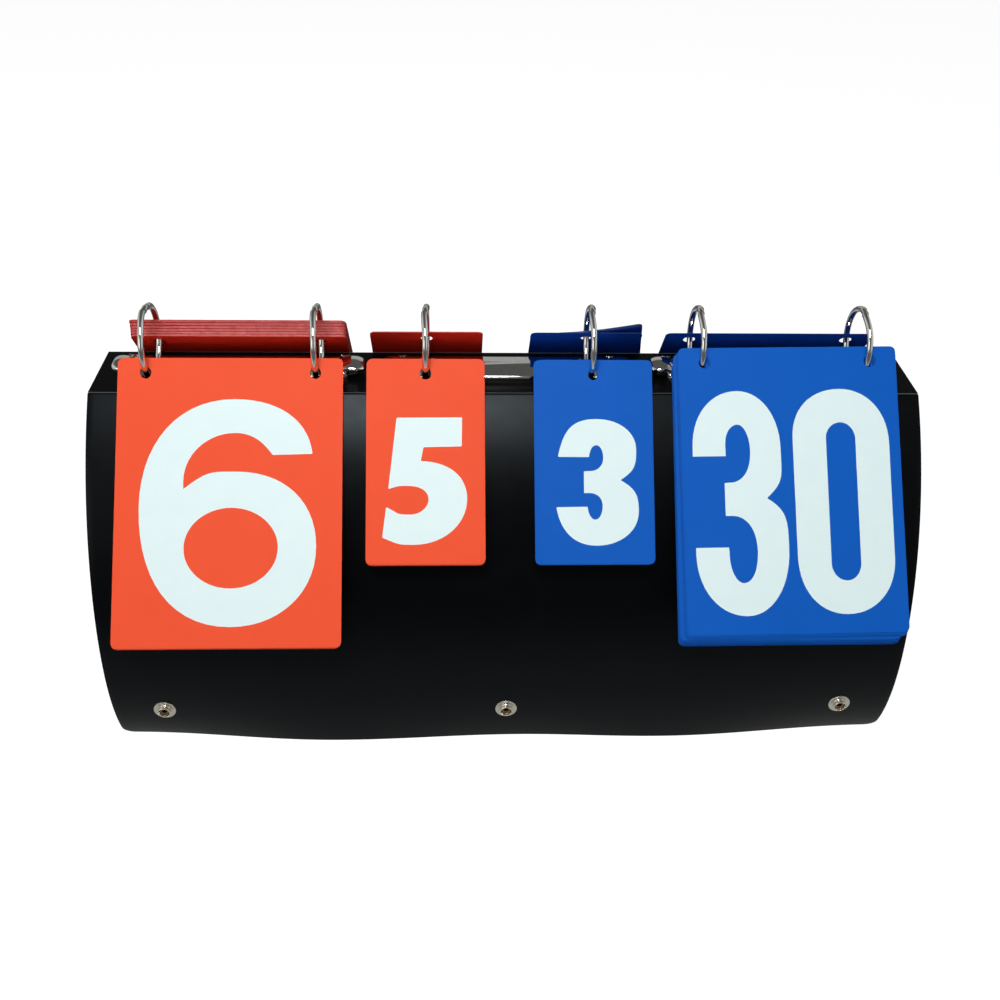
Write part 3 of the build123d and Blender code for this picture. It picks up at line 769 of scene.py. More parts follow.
# ------------------------------------------------------------------- the sheet
@dataclass
class TentSheet:
    """The creased sheet: a flat spine and two bowed panels with rounded feet."""

    datum: Datum
    width: float = 400.0
    thickness: float = 1.2
    spine_width: float = 41.0
    length: float = 193.0
    crease_lean: float = 46.0
    foot_lean: float = -9.0
    foot_corner: float = 6.0
    crease_gap: float = 0.15
    lip_depth: float = 0.28
    lip_length: float = 0.6
    edge_round: float = 0.25
    foot_pull: tuple[Point, ...] = (
        (-200.0, 7.6), (-85.0, 0.3), (6.0, 3.1), (82.0, 0.8), (200.0, 7.6))
    pull_power: int = 8
    wave_height: float = 0.12
    wave_length: float = 31.0
    wave_start: float = 0.7
    row_step: float = 3.0
    half_columns: int = 60

    def arc_radius(self) -> float:
        """Return the radius to which a panel is bowed."""
        return self.length / math.radians(self.crease_lean - self.foot_lean)

    def surface(self, side: Side, x: float, along: float, lift: float) -> Vector:
        """Find a point on a panel's outer face.

        Args:
            side: the front or the rear panel.
            x: across the panel.
            along: from the crease down to the foot.
            lift: how far the point stands off the face.

        Returns:
            The point, in metres.
        """
        radius = self.arc_radius()
        crease = math.radians(self.crease_lean)
        lean = crease - along / radius
        out = radius * (math.cos(lean) - math.cos(crease)) + lift * math.cos(lean)
        rise = radius * (math.sin(lean) - math.sin(crease)) + lift * math.sin(lean)
        out -= self.pull(x) * (along / self.length) ** self.pull_power
        y = self.datum.spine_y + side.value * (self.spine_width / 2 + out)
        return Vector((x, y, self.datum.spine_top + rise)) * MM

    def pull(self, x: float) -> float:
        """Return how far the foot is drawn in where the thin sheet waves."""
        for (x0, low), (x1, high) in zip(self.foot_pull, self.foot_pull[1:]):
            if x <= x1:
                break
        share = min(max((x - x0) / (x1 - x0), 0.0), 1.0)
        return low + (high - low) * (1 - math.cos(math.pi * share)) / 2

    def waviness(self, x: float, along: float) -> float:
        """Return how far the panel stands off its bow, as a thin sheet does."""
        across = math.sin(x / self.wave_length + self.wave_start)
        return self.wave_height * across * math.sin(math.pi * along / self.length)

    def rows(self) -> list[float]:
        """Return the distances from the crease at which a panel has a row."""
        lip = [self.crease_gap + step for step in (0.0, 0.12, 0.3, 0.6, 1.2, 2.4)]
        body = [4.0 + self.row_step * i for i in range(math.ceil(self.length / self.row_step))]
        foot = [self.length - self.foot_corner * (1 - math.sin(math.radians(a)))
                for a in range(0, 91, 15)]
        return lip + [s for s in body if s < foot[0] - 1] + foot

    def half_width(self, along: float) -> float:
        """Return half the panel's width, less at the rounded feet."""
        into = along - (self.length - self.foot_corner)
        if into <= 0:
            return self.width / 2
        drop = self.foot_corner - math.sqrt(max(self.foot_corner**2 - into**2, 0))
        return self.width / 2 - drop

    def panel(self, side: Side) -> bpy.types.Object:
        """Build one panel as a bowed sheet with a turned-in lip at the crease."""
        columns = [i / self.half_columns - 1 for i in range(2 * self.half_columns + 1)]
        rows = self.rows()
        corners = []
        for along in rows:
            into = max(0.0, 1 - (along - self.crease_gap) / self.lip_length)
            lip = -self.lip_depth * into**2
            for share in columns:
                x = share * self.half_width(along)
                lift = lip + self.waviness(x, along)
                corners.append(self.surface(side, x, along, lift))
        across = len(columns)
        name = f"{side.name.lower()}_panel_sheet"
        mesh = bpy.data.meshes.new(name)
        mesh.from_pydata([tuple(c) for c in corners], [], grid_faces(len(rows), across))
        if side is Side.REAR:
            mesh.flip_normals()
        obj = new_object(name, mesh)
        wall = obj.modifiers.new("wall", "SOLIDIFY")
        wall.thickness = self.thickness * MM
        wall.offset = -1.0 if mesh.polygons[0].normal.y * side.value > 0 else 1.0
        round_edges(obj, self.edge_round, 3, 50.0)
        return settle(obj)

    def build(self) -> None:
        """Build and fit the spine and both panels."""
        spine = merged_copy("spine_panel", 0.5, 1)
        fit(spine, "spine", ["spine_panel"], SPINE_BLACK)
        for side in Side:
            name = f"{side.name.lower()}_panel"
            fit(self.panel(side), name, [name], SHEET_BLACK)


# ------------------------------------------------------------------- the snaps
@dataclass
class PressStuds:
    """Rows of press studs and sockets near the feet of the two panels."""

    sheet: TentSheet
    row_tree: NodeModifier
    positions: tuple[float, ...] = (-174.0, 0.0, 174.0)
    up_from_foot: float = 24.6

    def seat(self, side: Side, x: float) -> tuple[Vector, Euler]:
        """Find a stud's seat on a panel and the turn that faces it outwards."""
        along = self.sheet.length - self.up_from_foot
        radius = self.sheet.arc_radius()
        lean = math.radians(self.sheet.crease_lean) - along / radius
        normal = Vector((0, side.value * math.cos(lean), math.sin(lean)))
        spot = self.sheet.surface(side, x, along, self.sheet.waviness(x, along))
        return spot, normal.to_track_quat("Z", "X").to_euler()

    def row(self, name: str, profile: Sequence[Point], side: Side,
            finish: Finish) -> bpy.types.Object:
        """Turn one fastener and repeat it along the row.

        Args:
            name: the piece's name.
            profile: radius of the fastener's section, and height over the outer face.
            side: the panel that it sits on.
            finish: the metal's finish.

        Returns:
            The row, as one plain object.
        """
        pattern = new_object(f"{name}_pattern", lathe(f"{name}_pattern", profile))
        seats = [self.seat(side, x) for x in self.positions]
        points = bpy.data.meshes.new(name)
        points.from_pydata([tuple(spot) for spot, _ in seats], [], [])
        obj = self.row_tree.apply(new_object(name, points), {
            "Fastener": pattern, "Turn": tuple(seats[0][1]), "Finish": finish.material()})
        bpy.data.objects.remove(pattern)
        return obj

    def build(self) -> None:
        """Build and fit the studs, posts, sockets and caps."""
        stud = [(1.75, 0.0), (5.5, 0.0), (5.65, 0.3), (5.5, 0.65), (5.15, 0.8), (4.7, 0.72),
                (4.2, 0.5), (3.7, 0.42), (3.3, 0.5), (3.05, 0.8), (2.98, 1.4), (3.15, 1.8),
                (3.35, 2.15), (3.35, 2.5), (3.1, 2.76), (2.75, 2.72), (2.6, 2.4), (2.55, 1.4),
                (2.3, 1.0), (1.75, 0.9)]
        post = [(1.2, -1.85), (4.2, -1.85), (4.3, -1.6), (4.1, -1.35), (1.6, -1.3), (1.65, 0.6),
                (1.72, 1.2), (2.2, 1.12), (2.45, 1.25), (2.35, 1.55), (1.85, 1.62), (1.3, 1.4),
                (1.2, 1.0)]
        socket = [(1.7, 0.0), (5.7, 0.0), (5.85, 0.5), (5.8, 1.5), (5.5, 2.3), (4.9, 2.75),
                  (4.2, 2.8), (3.7, 2.65), (3.45, 2.3), (3.5, 1.2), (3.45, 0.65), (1.7, 0.6)]
        cap = [(0.0, -2.0), (3.6, -2.02), (5.2, -1.95), (6.0, -1.7), (6.2, -1.4), (5.9, -1.32),
               (1.6, -1.3), (1.6, 0.62), (2.1, 0.7), (2.0, 0.92), (1.2, 1.0), (0.0, 0.95)]
        jobs = (("snap_studs", stud, Side.FRONT, NICKEL, "snap_steel"),
                ("snap_stud_posts", post, Side.FRONT, BRASS, "snap_brass"),
                ("snap_sockets", socket, Side.REAR, NICKEL, "snap_steel"),
                ("snap_socket_caps", cap, Side.REAR, NICKEL, "snap_steel"))
        for node, profile, side, finish, slot in jobs:
            obj = self.row(f"{node}_turned", profile, side, finish)
            fit(obj, f"{side.name.lower()}_panel", [node])


# -------------------------------------------------------- the ring mechanisms
@dataclass
class RingMechanism:
    """One two-ring binder mechanism: cover, blades, half rings, levers, rivets."""

    key: str
    middle: float
    datum: Datum
    wire_tree: NodeModifier
    ring_spacing: float = 80.0
    ring_radius: float = 17.0
    ring_height: float = 16.5
    wire_radius: float = 1.5
    foot_angle: float = 150.0
    clasp_angle: float = 8.0
    clasp_end: float = 0.5
    side_step: float = -0.5
    lever_pivot: Point = (52.2, 2.2)
    hood_reaches: Point = (10.4, 10.4)
    hood_start: float = -2.0
    hood_half_width: float = 6.8
    hood_corner: float = 4.2
    hood_roll: float = 1.6
    hood_top: float = 4.4
    hood_middle: float = 4.0
    fall_along: float = 0.045
    fall_across: float = 0.02
    hood_wall: float = 0.7
    rim_drop: float = 1.4
    rim_slope: float = 0.23
    barrel: tuple[Point, ...] = (
        (0.85, -9.4), (1.3, -9.5), (1.6, -9.25), (1.6, 9.25), (1.3, 9.5), (0.85, 9.4))
    tongue_size: Place = (2.6, 2.4, 0.5)
    tongue_drop: float = 1.6

    def ring_points(self, name: str) -> bpy.types.Object:
        """Return the two ring centres as the vertices of a new object."""
        half = self.ring_spacing / 2
        height = self.datum.spine_top + self.ring_height
        spots = [Vector((self.middle + x, self.datum.spine_y, height)) * MM for x in (-half, half)]
        points = bpy.data.meshes.new(name)
        points.from_pydata([tuple(s) for s in spots], [], [])
        return new_object(name, points)

    def half_rings(self, side: Side) -> bpy.types.Object:
        """Bend the two half rings of one blade."""
        # local X points up, local Y away from the middle, local Z along the spine
        turn = Matrix(((0, 0, -side.value), (0, side.value, 0), (1, 0, 0))).to_euler()
        points = self.ring_points(f"{self.key}_{side.name.lower()}_wires")
        clasp = math.radians(self.clasp_angle)
        end = math.radians(self.clasp_end)
        return self.wire_tree.apply(points, {
            "Ring radius": self.ring_radius * MM, "Wire radius": self.wire_radius * MM,
            "Start angle": clasp, "Sweep angle": math.radians(self.foot_angle) - clasp,
            "Tongue start": end - clasp, "Tongue sweep": 2 * clasp - end,
            "Side step": self.side_step * MM, "Turn": tuple(turn),
            "Finish": CHROME.material()})

    def hood_outline(self, reach: float) -> list[tuple[Vector, Vector]]:
        """Return the hood's outline, from its open end round the tip and back.

        Args:
            reach: how far the tip is from the pivot.

        Returns:
            Each point and the way out of the hood there, seen from above.
        """
        corner, half = self.hood_corner, self.hood_half_width
        tip, edge = reach - corner, half - corner
        left = [(Vector((self.hood_start + (tip - self.hood_start) * i / 6, half)),
                 Vector((0, 1))) for i in range(6)]
        for angle in range(90, -1, -15):
            x, y = math.cos(math.radians(angle)), math.sin(math.radians(angle))
            left.append((Vector((tip + corner * x, edge + corner * y)), Vector((x, y))))
        right = [(Vector((p.x, -p.y)), Vector((n.x, -n.y))) for p, n in reversed(left)]
        middle = [(Vector((reach, edge * k / 2)), Vector((1, 0))) for k in (1, 0, -1)]
        return left + middle + right

    def hood_height(self, spot: Vector) -> float:
        """Return the height of the hood's domed top over a point."""
        along, across = spot.x - self.hood_middle, spot.y
        return self.hood_top - self.fall_along * along**2 - self.fall_across * across**2

    def hood_section(self, point: Vector, way: Vector, reach: float) -> list[Vector]:
        """Return the hood's surface from its middle line over the edge and down."""
        core = point - way * self.hood_roll
        heart = Vector((min(core.x, reach - self.hood_half_width), 0.0))
        flat = [heart + (core - heart) * i / 5 for i in range(6)]
        section = [Vector((p.x, p.y, self.hood_height(p))) for p in flat]
        crown = self.hood_height(core)
        for angle in (20, 40, 60, 78, 90):
            turn = math.radians(angle)
            spot = core + way * (self.hood_roll * math.sin(turn))
            section.append(Vector((*spot, crown - self.hood_roll * (1 - math.cos(turn)))))
        rim = self.rim_slope * (point.x - self.hood_start) - self.rim_drop
        wall = section[-1].z
        return section + [Vector((point.x, point.y, wall + (rim - wall) * k)) for k in (0.5, 1.0)]

    def lever(self, end: int) -> bpy.types.Object:
        """Build an end lever: pressed hood, round barrel and lifting tongue.

        Args:
            end: -1 for the left lever, 1 for the right one.

        Returns:
            The lever.
        """
        pivot_x, pivot_z = self.lever_pivot
        name = f"{self.key}_{'left' if end < 0 else 'right'}_lever_pressed"
        place = Vector((self.middle + end * pivot_x, self.datum.spine_y,
                        self.datum.spine_top + pivot_z))
        reach = self.hood_reaches[0 if end < 0 else 1]
        outline = self.hood_outline(reach)
        sections = [self.hood_section(point, way, reach) for point, way in outline]
        corners = [(Vector((end * p.x, p.y, p.z)) + place) * MM
                   for section in sections for p in section]
        mesh = mesh_from(name, corners, grid_faces(len(sections), len(sections[0])))
        if sum(face.normal.z * face.area for face in mesh.polygons) < 0:
            mesh.flip_normals()
        hood = new_object(name, mesh)
        wall = hood.modifiers.new("wall", "SOLIDIFY")
        wall.thickness = self.hood_wall * MM
        wall.offset = -1.0
        smooth = hood.modifiers.new("smooth", "SUBSURF")
        smooth.levels = 1
        smooth.render_levels = 1
        hood = settle(hood)
        with editing(hood.data) as work:
            work.from_mesh(self.lever_barrel(end, place))
        hood.data.shade_smooth()
        hood.data.set_sharp_from_angle(angle=math.radians(40))
        return hood

    def lever_barrel(self, end: int, place: Vector) -> bpy.types.Mesh:
        """Build the rolled barrel on the lever's pin and the tongue under the blades."""
        mesh = lathe("barrel", self.barrel, 28)
        lay = Matrix.Rotation(math.radians(90), 4, "X")
        mesh.transform(Matrix.Translation(place * MM) @ lay)
        middle = place + Vector((-end * self.tongue_size[0] / 2, 0, -self.tongue_drop))
        shape = Matrix.Diagonal((*(size * MM for size in self.tongue_size), 1.0))
        with editing(mesh) as work:
            tongue = bmesh.ops.create_cube(work, size=1.0)
            bmesh.ops.transform(work, matrix=Matrix.Translation(middle * MM) @ shape,
                                verts=tongue["verts"])
        return mesh

    def build(self) -> None:
        """Build and fit every piece of the mechanism."""
        key = self.key
        cover = merged_copy(f"{key}_mechanism_cover", 0.25, 3)
        fit(cover, "spine", [f"{key}_mechanism_cover"], CHROME)
        for node in (f"{key}_rivets", f"{key}_lever_pins"):
            fit(merged_copy(node), "spine", [node], ZINC)
        for side in Side:
            word = side.name.lower()
            coat(f"{key}_{word}_blade", ZINC)
            fit(self.half_rings(side), f"{key}_{word}_rings", [f"{key}_{word}_half_rings"])
        for end, word in ((-1, "left"), (1, "right")):
            fit(self.lever(end), f"{key}_{word}_lever", [f"{key}_mechanism_{word}_lever"],
                CHROME)


# ------------------------------------------------------------------ the digits
class Heading(Enum):
    """Which way an outline runs as it passes a knot; down is along the card."""

    RIGHT = (1.0, 0.0)
    LEFT = (-1.0, 0.0)
    UP = (0.0, -1.0)
    DOWN = (0.0, 1.0)


ROUND = 0.5523


@dataclass(frozen=True)
class Knot:
    """A point of an outline, with the ways it arrives and leaves.

    A knot without ways is a plain corner. The fullness is that of the curve
    that arrives: a quarter of an ellipse at ROUND, and squarer above it.
    """

    x: float
    y: float
    arrive: Point | None = None
    leave: Point | None = None
    full: float = ROUND


def through(x: float, y: float, heading: Heading, full: float = ROUND) -> Knot:
    """Return a knot that the outline passes smoothly, along a heading."""
    return Knot(x, y, heading.value, heading.value, full)


@dataclass(frozen=True)
class Contour:
    """A closed outline through knots, with smooth turns between them."""

    knots: tuple[Knot, ...]
    corner_round: float = 0.6
    pieces: int = 14
    corner_pieces: int = 3
    corner_share: float = 0.45
    least_pull: float = 0.2
    free_pull: float = 0.4

    def step(self, start: Knot, end: Knot) -> list[Point]:
        """Return the points from one knot towards the next, without the last."""
        a, b = Vector((start.x, start.y)), Vector((end.x, end.y))
        if not start.leave and not end.arrive:
            return [tuple(a)]
        way = b - a
        least = way.length * self.least_pull
        if start.leave:
            out = Vector(start.leave).normalized()
            first = a + out * max(end.full * way.dot(out), least)
        if end.arrive:
            into = Vector(end.arrive).normalized()
            second = b - into * max(end.full * way.dot(into), least)
        if not start.leave:
            first = a + (second - a) * self.free_pull
        if not end.arrive:
            second = b + (first - b) * self.free_pull
        points = []
        for i in range(self.pieces):
            t = i / self.pieces
            spot = (a * (1 - t) ** 3 + first * (3 * t * (1 - t) ** 2)
                    + second * (3 * t**2 * (1 - t)) + b * t**3)
            points.append(tuple(spot))
        return points

    def points(self) -> list[Point]:
        """Return the outline's points, with its corners a little rounded."""
        count = len(self.knots)
        steps = [self.step(self.knots[i], self.knots[(i + 1) % count]) for i in range(count)]
        soft: list[Point] = []
        for i, knot in enumerate(self.knots):
            if knot.arrive and knot.arrive == knot.leave:
                soft += steps[i]
                continue
            here = Vector((knot.x, knot.y))
            following = self.knots[(i + 1) % count]
            before = Vector(steps[i - 1][-1]) - here
            onward = steps[i][1] if len(steps[i]) > 1 else (following.x, following.y)
            after = Vector(onward) - here
            near = min(self.corner_round, before.length * self.corner_share,
                       after.length * self.corner_share)
            start, end = here + before.normalized() * near, here + after.normalized() * near
            for j in range(self.corner_pieces + 1):
                t = j / self.corner_pieces
                soft.append(tuple(start * (1 - t) ** 2 + here * (2 * t * (1 - t)) + end * t**2))
            soft += steps[i][1:]
        return soft


# Outlines in millimetres from the card's upper left corner, y downwards.
RIGHT, LEFT, UP, DOWN = Heading.RIGHT, Heading.LEFT, Heading.UP, Heading.DOWN
SIX = (
    Contour((through(54.5, 19.8, RIGHT, 0.6), Knot(91.4, 46, (0.12, 1)), Knot(72.7, 46.5),
             through(55, 36, LEFT), through(31.1, 59, DOWN), Knot(31.2, 62.6, (0, 1), (0.8, -0.6)),
             through(56, 54.4, RIGHT), through(93.5, 90, DOWN, 0.6),
             through(54, 127.2, LEFT, 0.58),
             through(10.7, 71, UP, 0.62))),
    Contour((through(53.75, 71.5, RIGHT), through(75.65, 90.4, DOWN), through(53.75, 109.3, LEFT),
             through(31.85, 90.4, UP))),
)
THREE_AND_NOUGHT = (
    Contour((Knot(5.3, 52.4), through(5.4, 48, UP), through(27.5, 21.1, RIGHT, 0.58),
             through(47.6, 49, DOWN, 0.57), Knot(40.1, 72.7, (-0.75, 0.66), (0.8, 0.5)),
             through(49.7, 97, DOWN, 0.55), through(29, 128.2, LEFT, 0.57),
             through(5.4, 99, UP, 0.57), Knot(5.4, 95.8), Knot(21, 95.8),
             through(21.2, 99, DOWN), through(27.6, 112.7, RIGHT), through(34.7, 97.5, UP, 0.6),
             through(23.2, 80.9, LEFT, 0.6), Knot(20.1, 80.9), Knot(20.1, 65.2),
             through(22.5, 65.1, RIGHT), through(32.9, 50, UP, 0.62), through(27.2, 37.3, LEFT),
             through(21.1, 46.5, DOWN), Knot(21.1, 52.4))),
    Contour((through(77, 20.6, RIGHT, 0.6), through(100.2, 47, DOWN, 0.58),
             through(100.2, 102, DOWN), through(76.8, 128.1, LEFT, 0.58),
             through(53.7, 100, UP, 0.6), through(53.6, 44, UP))),
    Contour((through(76.8, 36.8, RIGHT), through(83.9, 45, DOWN), through(83.9, 104, DOWN),
             through(77, 112.3, LEFT), through(69.7, 104, UP), through(69.7, 44.5, UP))),
)
FIVE = (
    Contour((Knot(14.2, 28.5), Knot(45.4, 28.3), Knot(45.2, 42.3), Knot(27, 42.7),
             Knot(25.7, 49.3, None, (1, 0.02)), through(47.7, 67.3, DOWN, 0.6),
             through(22.5, 89.1, LEFT, 0.56), Knot(7.6, 85.7, (-0.9, -0.35)),
             Knot(9.4, 71.2, None, (0.85, 0.42)), through(20.7, 74.8, RIGHT, 0.6),
             through(29.4, 67.5, UP), through(20, 61.2, LEFT, 0.6),
             Knot(10.4, 62.7, (-0.95, 0.3)))),
)
THREE = (
    Contour((Knot(10.1, 47.1, None, (0.2, -1)), through(28.6, 28.8, RIGHT, 0.62),
             through(47.7, 43.5, DOWN, 0.58), Knot(39.9, 58.3, (-0.85, 0.55), (0.85, 0.5)),
             through(48.5, 73, DOWN, 0.55), through(28, 89.6, LEFT, 0.58),
             Knot(9.1, 71.2, (-0.15, -1)), Knot(24, 71, None, (0.1, 1)),
             through(27.7, 77.2, RIGHT), through(31.2, 70.5, UP), through(25, 64.5, LEFT, 0.6),
             Knot(22.4, 64.5), Knot(22.4, 54.1), through(25.5, 53.9, RIGHT),
             through(31.8, 47.3, UP, 0.6), through(28.6, 41.5, LEFT), Knot(25, 47.2, (-0.1, 1)))),
)


# ------------------------------------------------------------------- the cards
@dataclass
class CardSet:
    """One column of number cards: the shown card and the stacks before and behind."""

    name: str
    middle: float
    size: Point
    holes: tuple[float, ...]
    behind: int
    at_rear: int
    rear_lean: float
    digits: tuple[Contour, ...]
    finishes: dict[Side, tuple[Finish, Finish]]
    slot: str
    sheet: TentSheet
    stack_tree: NodeModifier
    front_slide: float = 0.0
    shown_turn: float = 0.0
    shown_slide: float = 0.0
    shown_gap: float = 0.0
    curled: dict[int, float] = field(default_factory=dict)
    curl_span: Point = (-8.0, 64.0)
    curl_step: float = 4.0
    fan_every: int = 0
    fan_gap: float = 0.0
    front_shuffle: float = 0.25
    rear_shuffle: float = 0.3
    sway_share: float = 0.3
    rear_drift: float = 0.0
    askew: dict[int, float] = field(default_factory=dict)
    nudged: dict[int, float] = field(default_factory=dict)
    loose: dict[int, float] = field(default_factory=dict)
    front_lean: float = 41.0
    thickness: float = 0.20
    pitch: float = 0.21
    hole_radius: float = 3.0
    hole_inset: float = 7.0
    corner_radius: float = 3.0
    wire_gap: float = 0.08
    panel_gap: float = 0.3
    ring_inner: float = 15.5
    ring_height: float = 16.5
    ink_thickness: float = 0.03
    ink_proud: float = 0.01
    curled_ink_proud: float = 0.04
    seed: int = 7

    def outlines(self) -> list[list[Point]]:
        """Return a card's rounded outline and its holes, from the holes' line."""
        half = self.size[0] / 2
        top, bottom = self.hole_inset, self.hole_inset - self.size[1]
        corners = [(-half, bottom), (half, bottom), (half, top), (-half, top)]
        holes = [circle((x, 0.0), self.hole_radius) for x in self.holes]
        return [rounded(corners, self.corner_radius)] + holes

    def lean(self, side: Side) -> float:
        """Return a stack's angle from the vertical, in degrees."""
        return self.front_lean if side is Side.FRONT else self.rear_lean

    def distance(self, side: Side, index: int) -> float:
        """Return how far a card's middle is from the rings' centre line.

        Args:
            side: the front stack, which lies tight, or the rear one.
            index: the card's place, from the panel out.

        Returns:
            The distance, with the air between batches and under the shown card.
        """
        sheet, angle = self.sheet, math.radians(self.lean(side))
        to_crease = sheet.spine_width / 2 * math.cos(angle) - self.ring_height * math.sin(angle)
        bow = math.radians(sheet.crease_lean - self.lean(side))
        bulge = sheet.arc_radius() * (1 - math.cos(bow))
        air = 0.0
        if side is Side.REAR and self.fan_every:
            air = index // self.fan_every * self.fan_gap
        if side is Side.FRONT and index >= self.behind:
            air = self.shown_gap
        nearest = to_crease + bulge + self.panel_gap + self.thickness / 2
        return nearest + index * self.pitch + air

    def hang(self, side: Side, index: int) -> Matrix:
        """Return the place of a hanging card.

        Args:
            side: the front or the rear of the scoreboard.
            index: the card's place in the stack, from the panel out.

        Returns:
            A matrix from the card's own plane to the frame, in metres.
        """
        angle, distance = math.radians(self.lean(side)), self.distance(side, index)
        out, up = math.cos(angle), math.sin(angle)
        rest = self.ring_inner**2 - (distance + self.thickness / 2) ** 2
        down = math.sqrt(max(rest, 0.0)) - self.wire_gap + self.hole_radius
        datum = self.sheet.datum
        origin = Vector((
            self.middle,
            datum.spine_y + side.value * (distance * out + down * up),
            datum.spine_top + self.ring_height + distance * up - down * out))
        normal = Vector((0, side.value * out, up))
        uphill = Vector((0, -side.value * up, out))
        right = uphill.cross(normal)
        turn = Matrix((right, uphill, normal)).transposed().to_4x4()
        return Matrix.Translation(origin * MM) @ turn

    def carried(self, turn: float) -> float:
        """Return how far a card that hangs askew by some degrees is lifted by one ring."""
        return max(max(self.holes) * math.sin(math.radians(abs(turn))) - self.wire_gap, 0.0)

    def drift(self, side: Side, index: int) -> float:
        """Return how far one card of a stack has slid to its right."""
        if side is Side.REAR:
            return self.rear_drift * index / self.at_rear
        return self.nudged.get(index, 0.0)

    def stack(self, name: str, side: Side, indices: Sequence[int], turns: dict[int, float],
              slide: float = 0.0, shuffle: float = 0.0) -> bpy.types.Object:
        """Hang cards one on another.

        Args:
            name: the stack's name.
            side: the front or the rear.
            indices: the places of the cards in the stack, from the panel out.
            turns: degrees by which some cards hang askew.
            slide: how far all the cards hang to their right.
            shuffle: how far chance moves a card sideways.

        Returns:
            The stack, as one plain object.
        """
        places = [self.hang(side, i) for i in indices]
        curled = self.curled if side is Side.REAR else {}
        line = bpy.data.meshes.new(name)
        line.from_pydata([tuple(place.translation) for place in places], [], [])
        for label, values in {
                "turn": [math.radians(turns.get(i, 0.0)) for i in indices],
                "slide": [(slide + self.drift(side, i)) * MM for i in indices],
                "rise": [self.carried(turns.get(i, 0.0)) * MM for i in indices],
                "curl": [curled.get(i, 0.0) * MM for i in indices]}.items():
            line.attributes.new(label, "FLOAT", "POINT").data.foreach_set("value", values)
        card = new_object("card_pattern", flat_plate(
            "card_pattern", self.outlines(), self.thickness, self.curl_step if curled else 0.0))
        outward = places[0].to_3x3() @ Vector((0, 0, 1))
        print_finish, edge_finish = self.finishes[side]
        start, end = self.curl_span
        obj = self.stack_tree.apply(new_object(name, line), {
            "Card": card, "Hang": tuple(places[0].to_euler()), "Outward": tuple(outward),
            "Shuffle": shuffle * MM, "Sway": math.radians(self.sway_share) * shuffle,
            "Seed": self.seed, "Curl start": (self.middle + start) * MM,
            "Curl end": (self.middle + end) * MM,
            "Print": print_finish.material(), "Edge": edge_finish.material()})
        bpy.data.objects.remove(card)
        return obj

    def number(self, name: str, side: Side, index: int, turn: float,
               slide: float) -> bpy.types.Object:
        """Lay the set's printed number on a card.

        Args:
            name: the piece's name.
            side: the front or the rear.
            index: the card's place in its stack.
            turn: degrees by which the card hangs askew.
            slide: how far it hangs to its right.

        Returns:
            The number, as one plain object.
        """
        curl = self.curled.get(index, 0.0) if side is Side.REAR else 0.0
        half = self.size[0] / 2
        outlines = [[(x - half, self.hole_inset - y) for x, y in contour.points()]
                    for contour in self.digits]
        mesh = flat_plate(name, outlines, self.ink_thickness, self.curl_step if curl else 0.0)
        shift = Matrix.Translation(Vector((slide, self.carried(turn), 0)) * MM)
        spin = Matrix.Rotation(math.radians(turn), 4, "Z")
        place = self.hang(side, index) @ shift @ spin
        proud = self.thickness / 2 + (self.curled_ink_proud if curl else self.ink_proud)
        mesh.transform(place @ Matrix.Translation(Vector((0, 0, proud)) * MM))
        outward = place.to_3x3() @ Vector((0, 0, 1))
        start, end = self.curl_span
        for vertex in mesh.vertices if curl else ():
            share = min(max((vertex.co.x / MM - self.middle - start) / (end - start), 0.0), 1.0)
            vertex.co += outward * (curl * MM * share * share * (3 - 2 * share))
        obj = new_object(name, mesh)
        mesh.materials.append(WHITE_INK.material())
        return obj

    def build(self) -> None:
        """Build and fit the set's three stacks and their printed numbers."""
        front, rear = f"{self.name}_front_cards", f"{self.name}_rear_cards"
        shown = f"{self.name}_shown_card"
        top, last = self.behind, self.at_rear - 1
        stack = self.stack(f"{self.name}_front_stack", Side.FRONT, range(top), self.askew,
                           self.front_slide, self.front_shuffle)
        fit(stack, front, [front])
        card = self.stack(f"{self.name}_top_card", Side.FRONT, [top], {top: self.shown_turn},
                          self.shown_slide)
        fit(card, shown, [shown])
        number = self.number(f"{self.name}_number", Side.FRONT, top, self.shown_turn,
                             self.shown_slide)
        fit(number, shown, [])
        back = self.stack(f"{self.name}_rear_stack", Side.REAR, range(self.at_rear), self.loose,
                          shuffle=self.rear_shuffle)
        fit(back, rear, [rear])
        number = self.number(f"{self.name}_rear_number", Side.REAR, last,
                             self.loose.get(last, 0.0), self.drift(Side.REAR, last))
        fit(number, rear, [])


# ------------------------------------------------------------------ the studio
@dataclass(frozen=True)
class Softbox:
    """A rectangular lamp, in metres and watts."""

    name: str
    place: Place
    size: Point
    watts: float

    def hang(self, aim: Vector) -> None:
        """Put the lamp up, facing a point."""
        data = bpy.data.lights.new(self.name, "AREA")
        data.shape = "RECTANGLE"
        data.size, data.size_y = self.size
        data.energy = self.watts
        lamp = link(bpy.data.objects.new(self.name, data))
        place = Vector(self.place)
        turn = (aim - place).to_track_quat("-Z", "Y").to_matrix().to_4x4()
        lamp.matrix_world = Matrix.Translation(place) @ turn


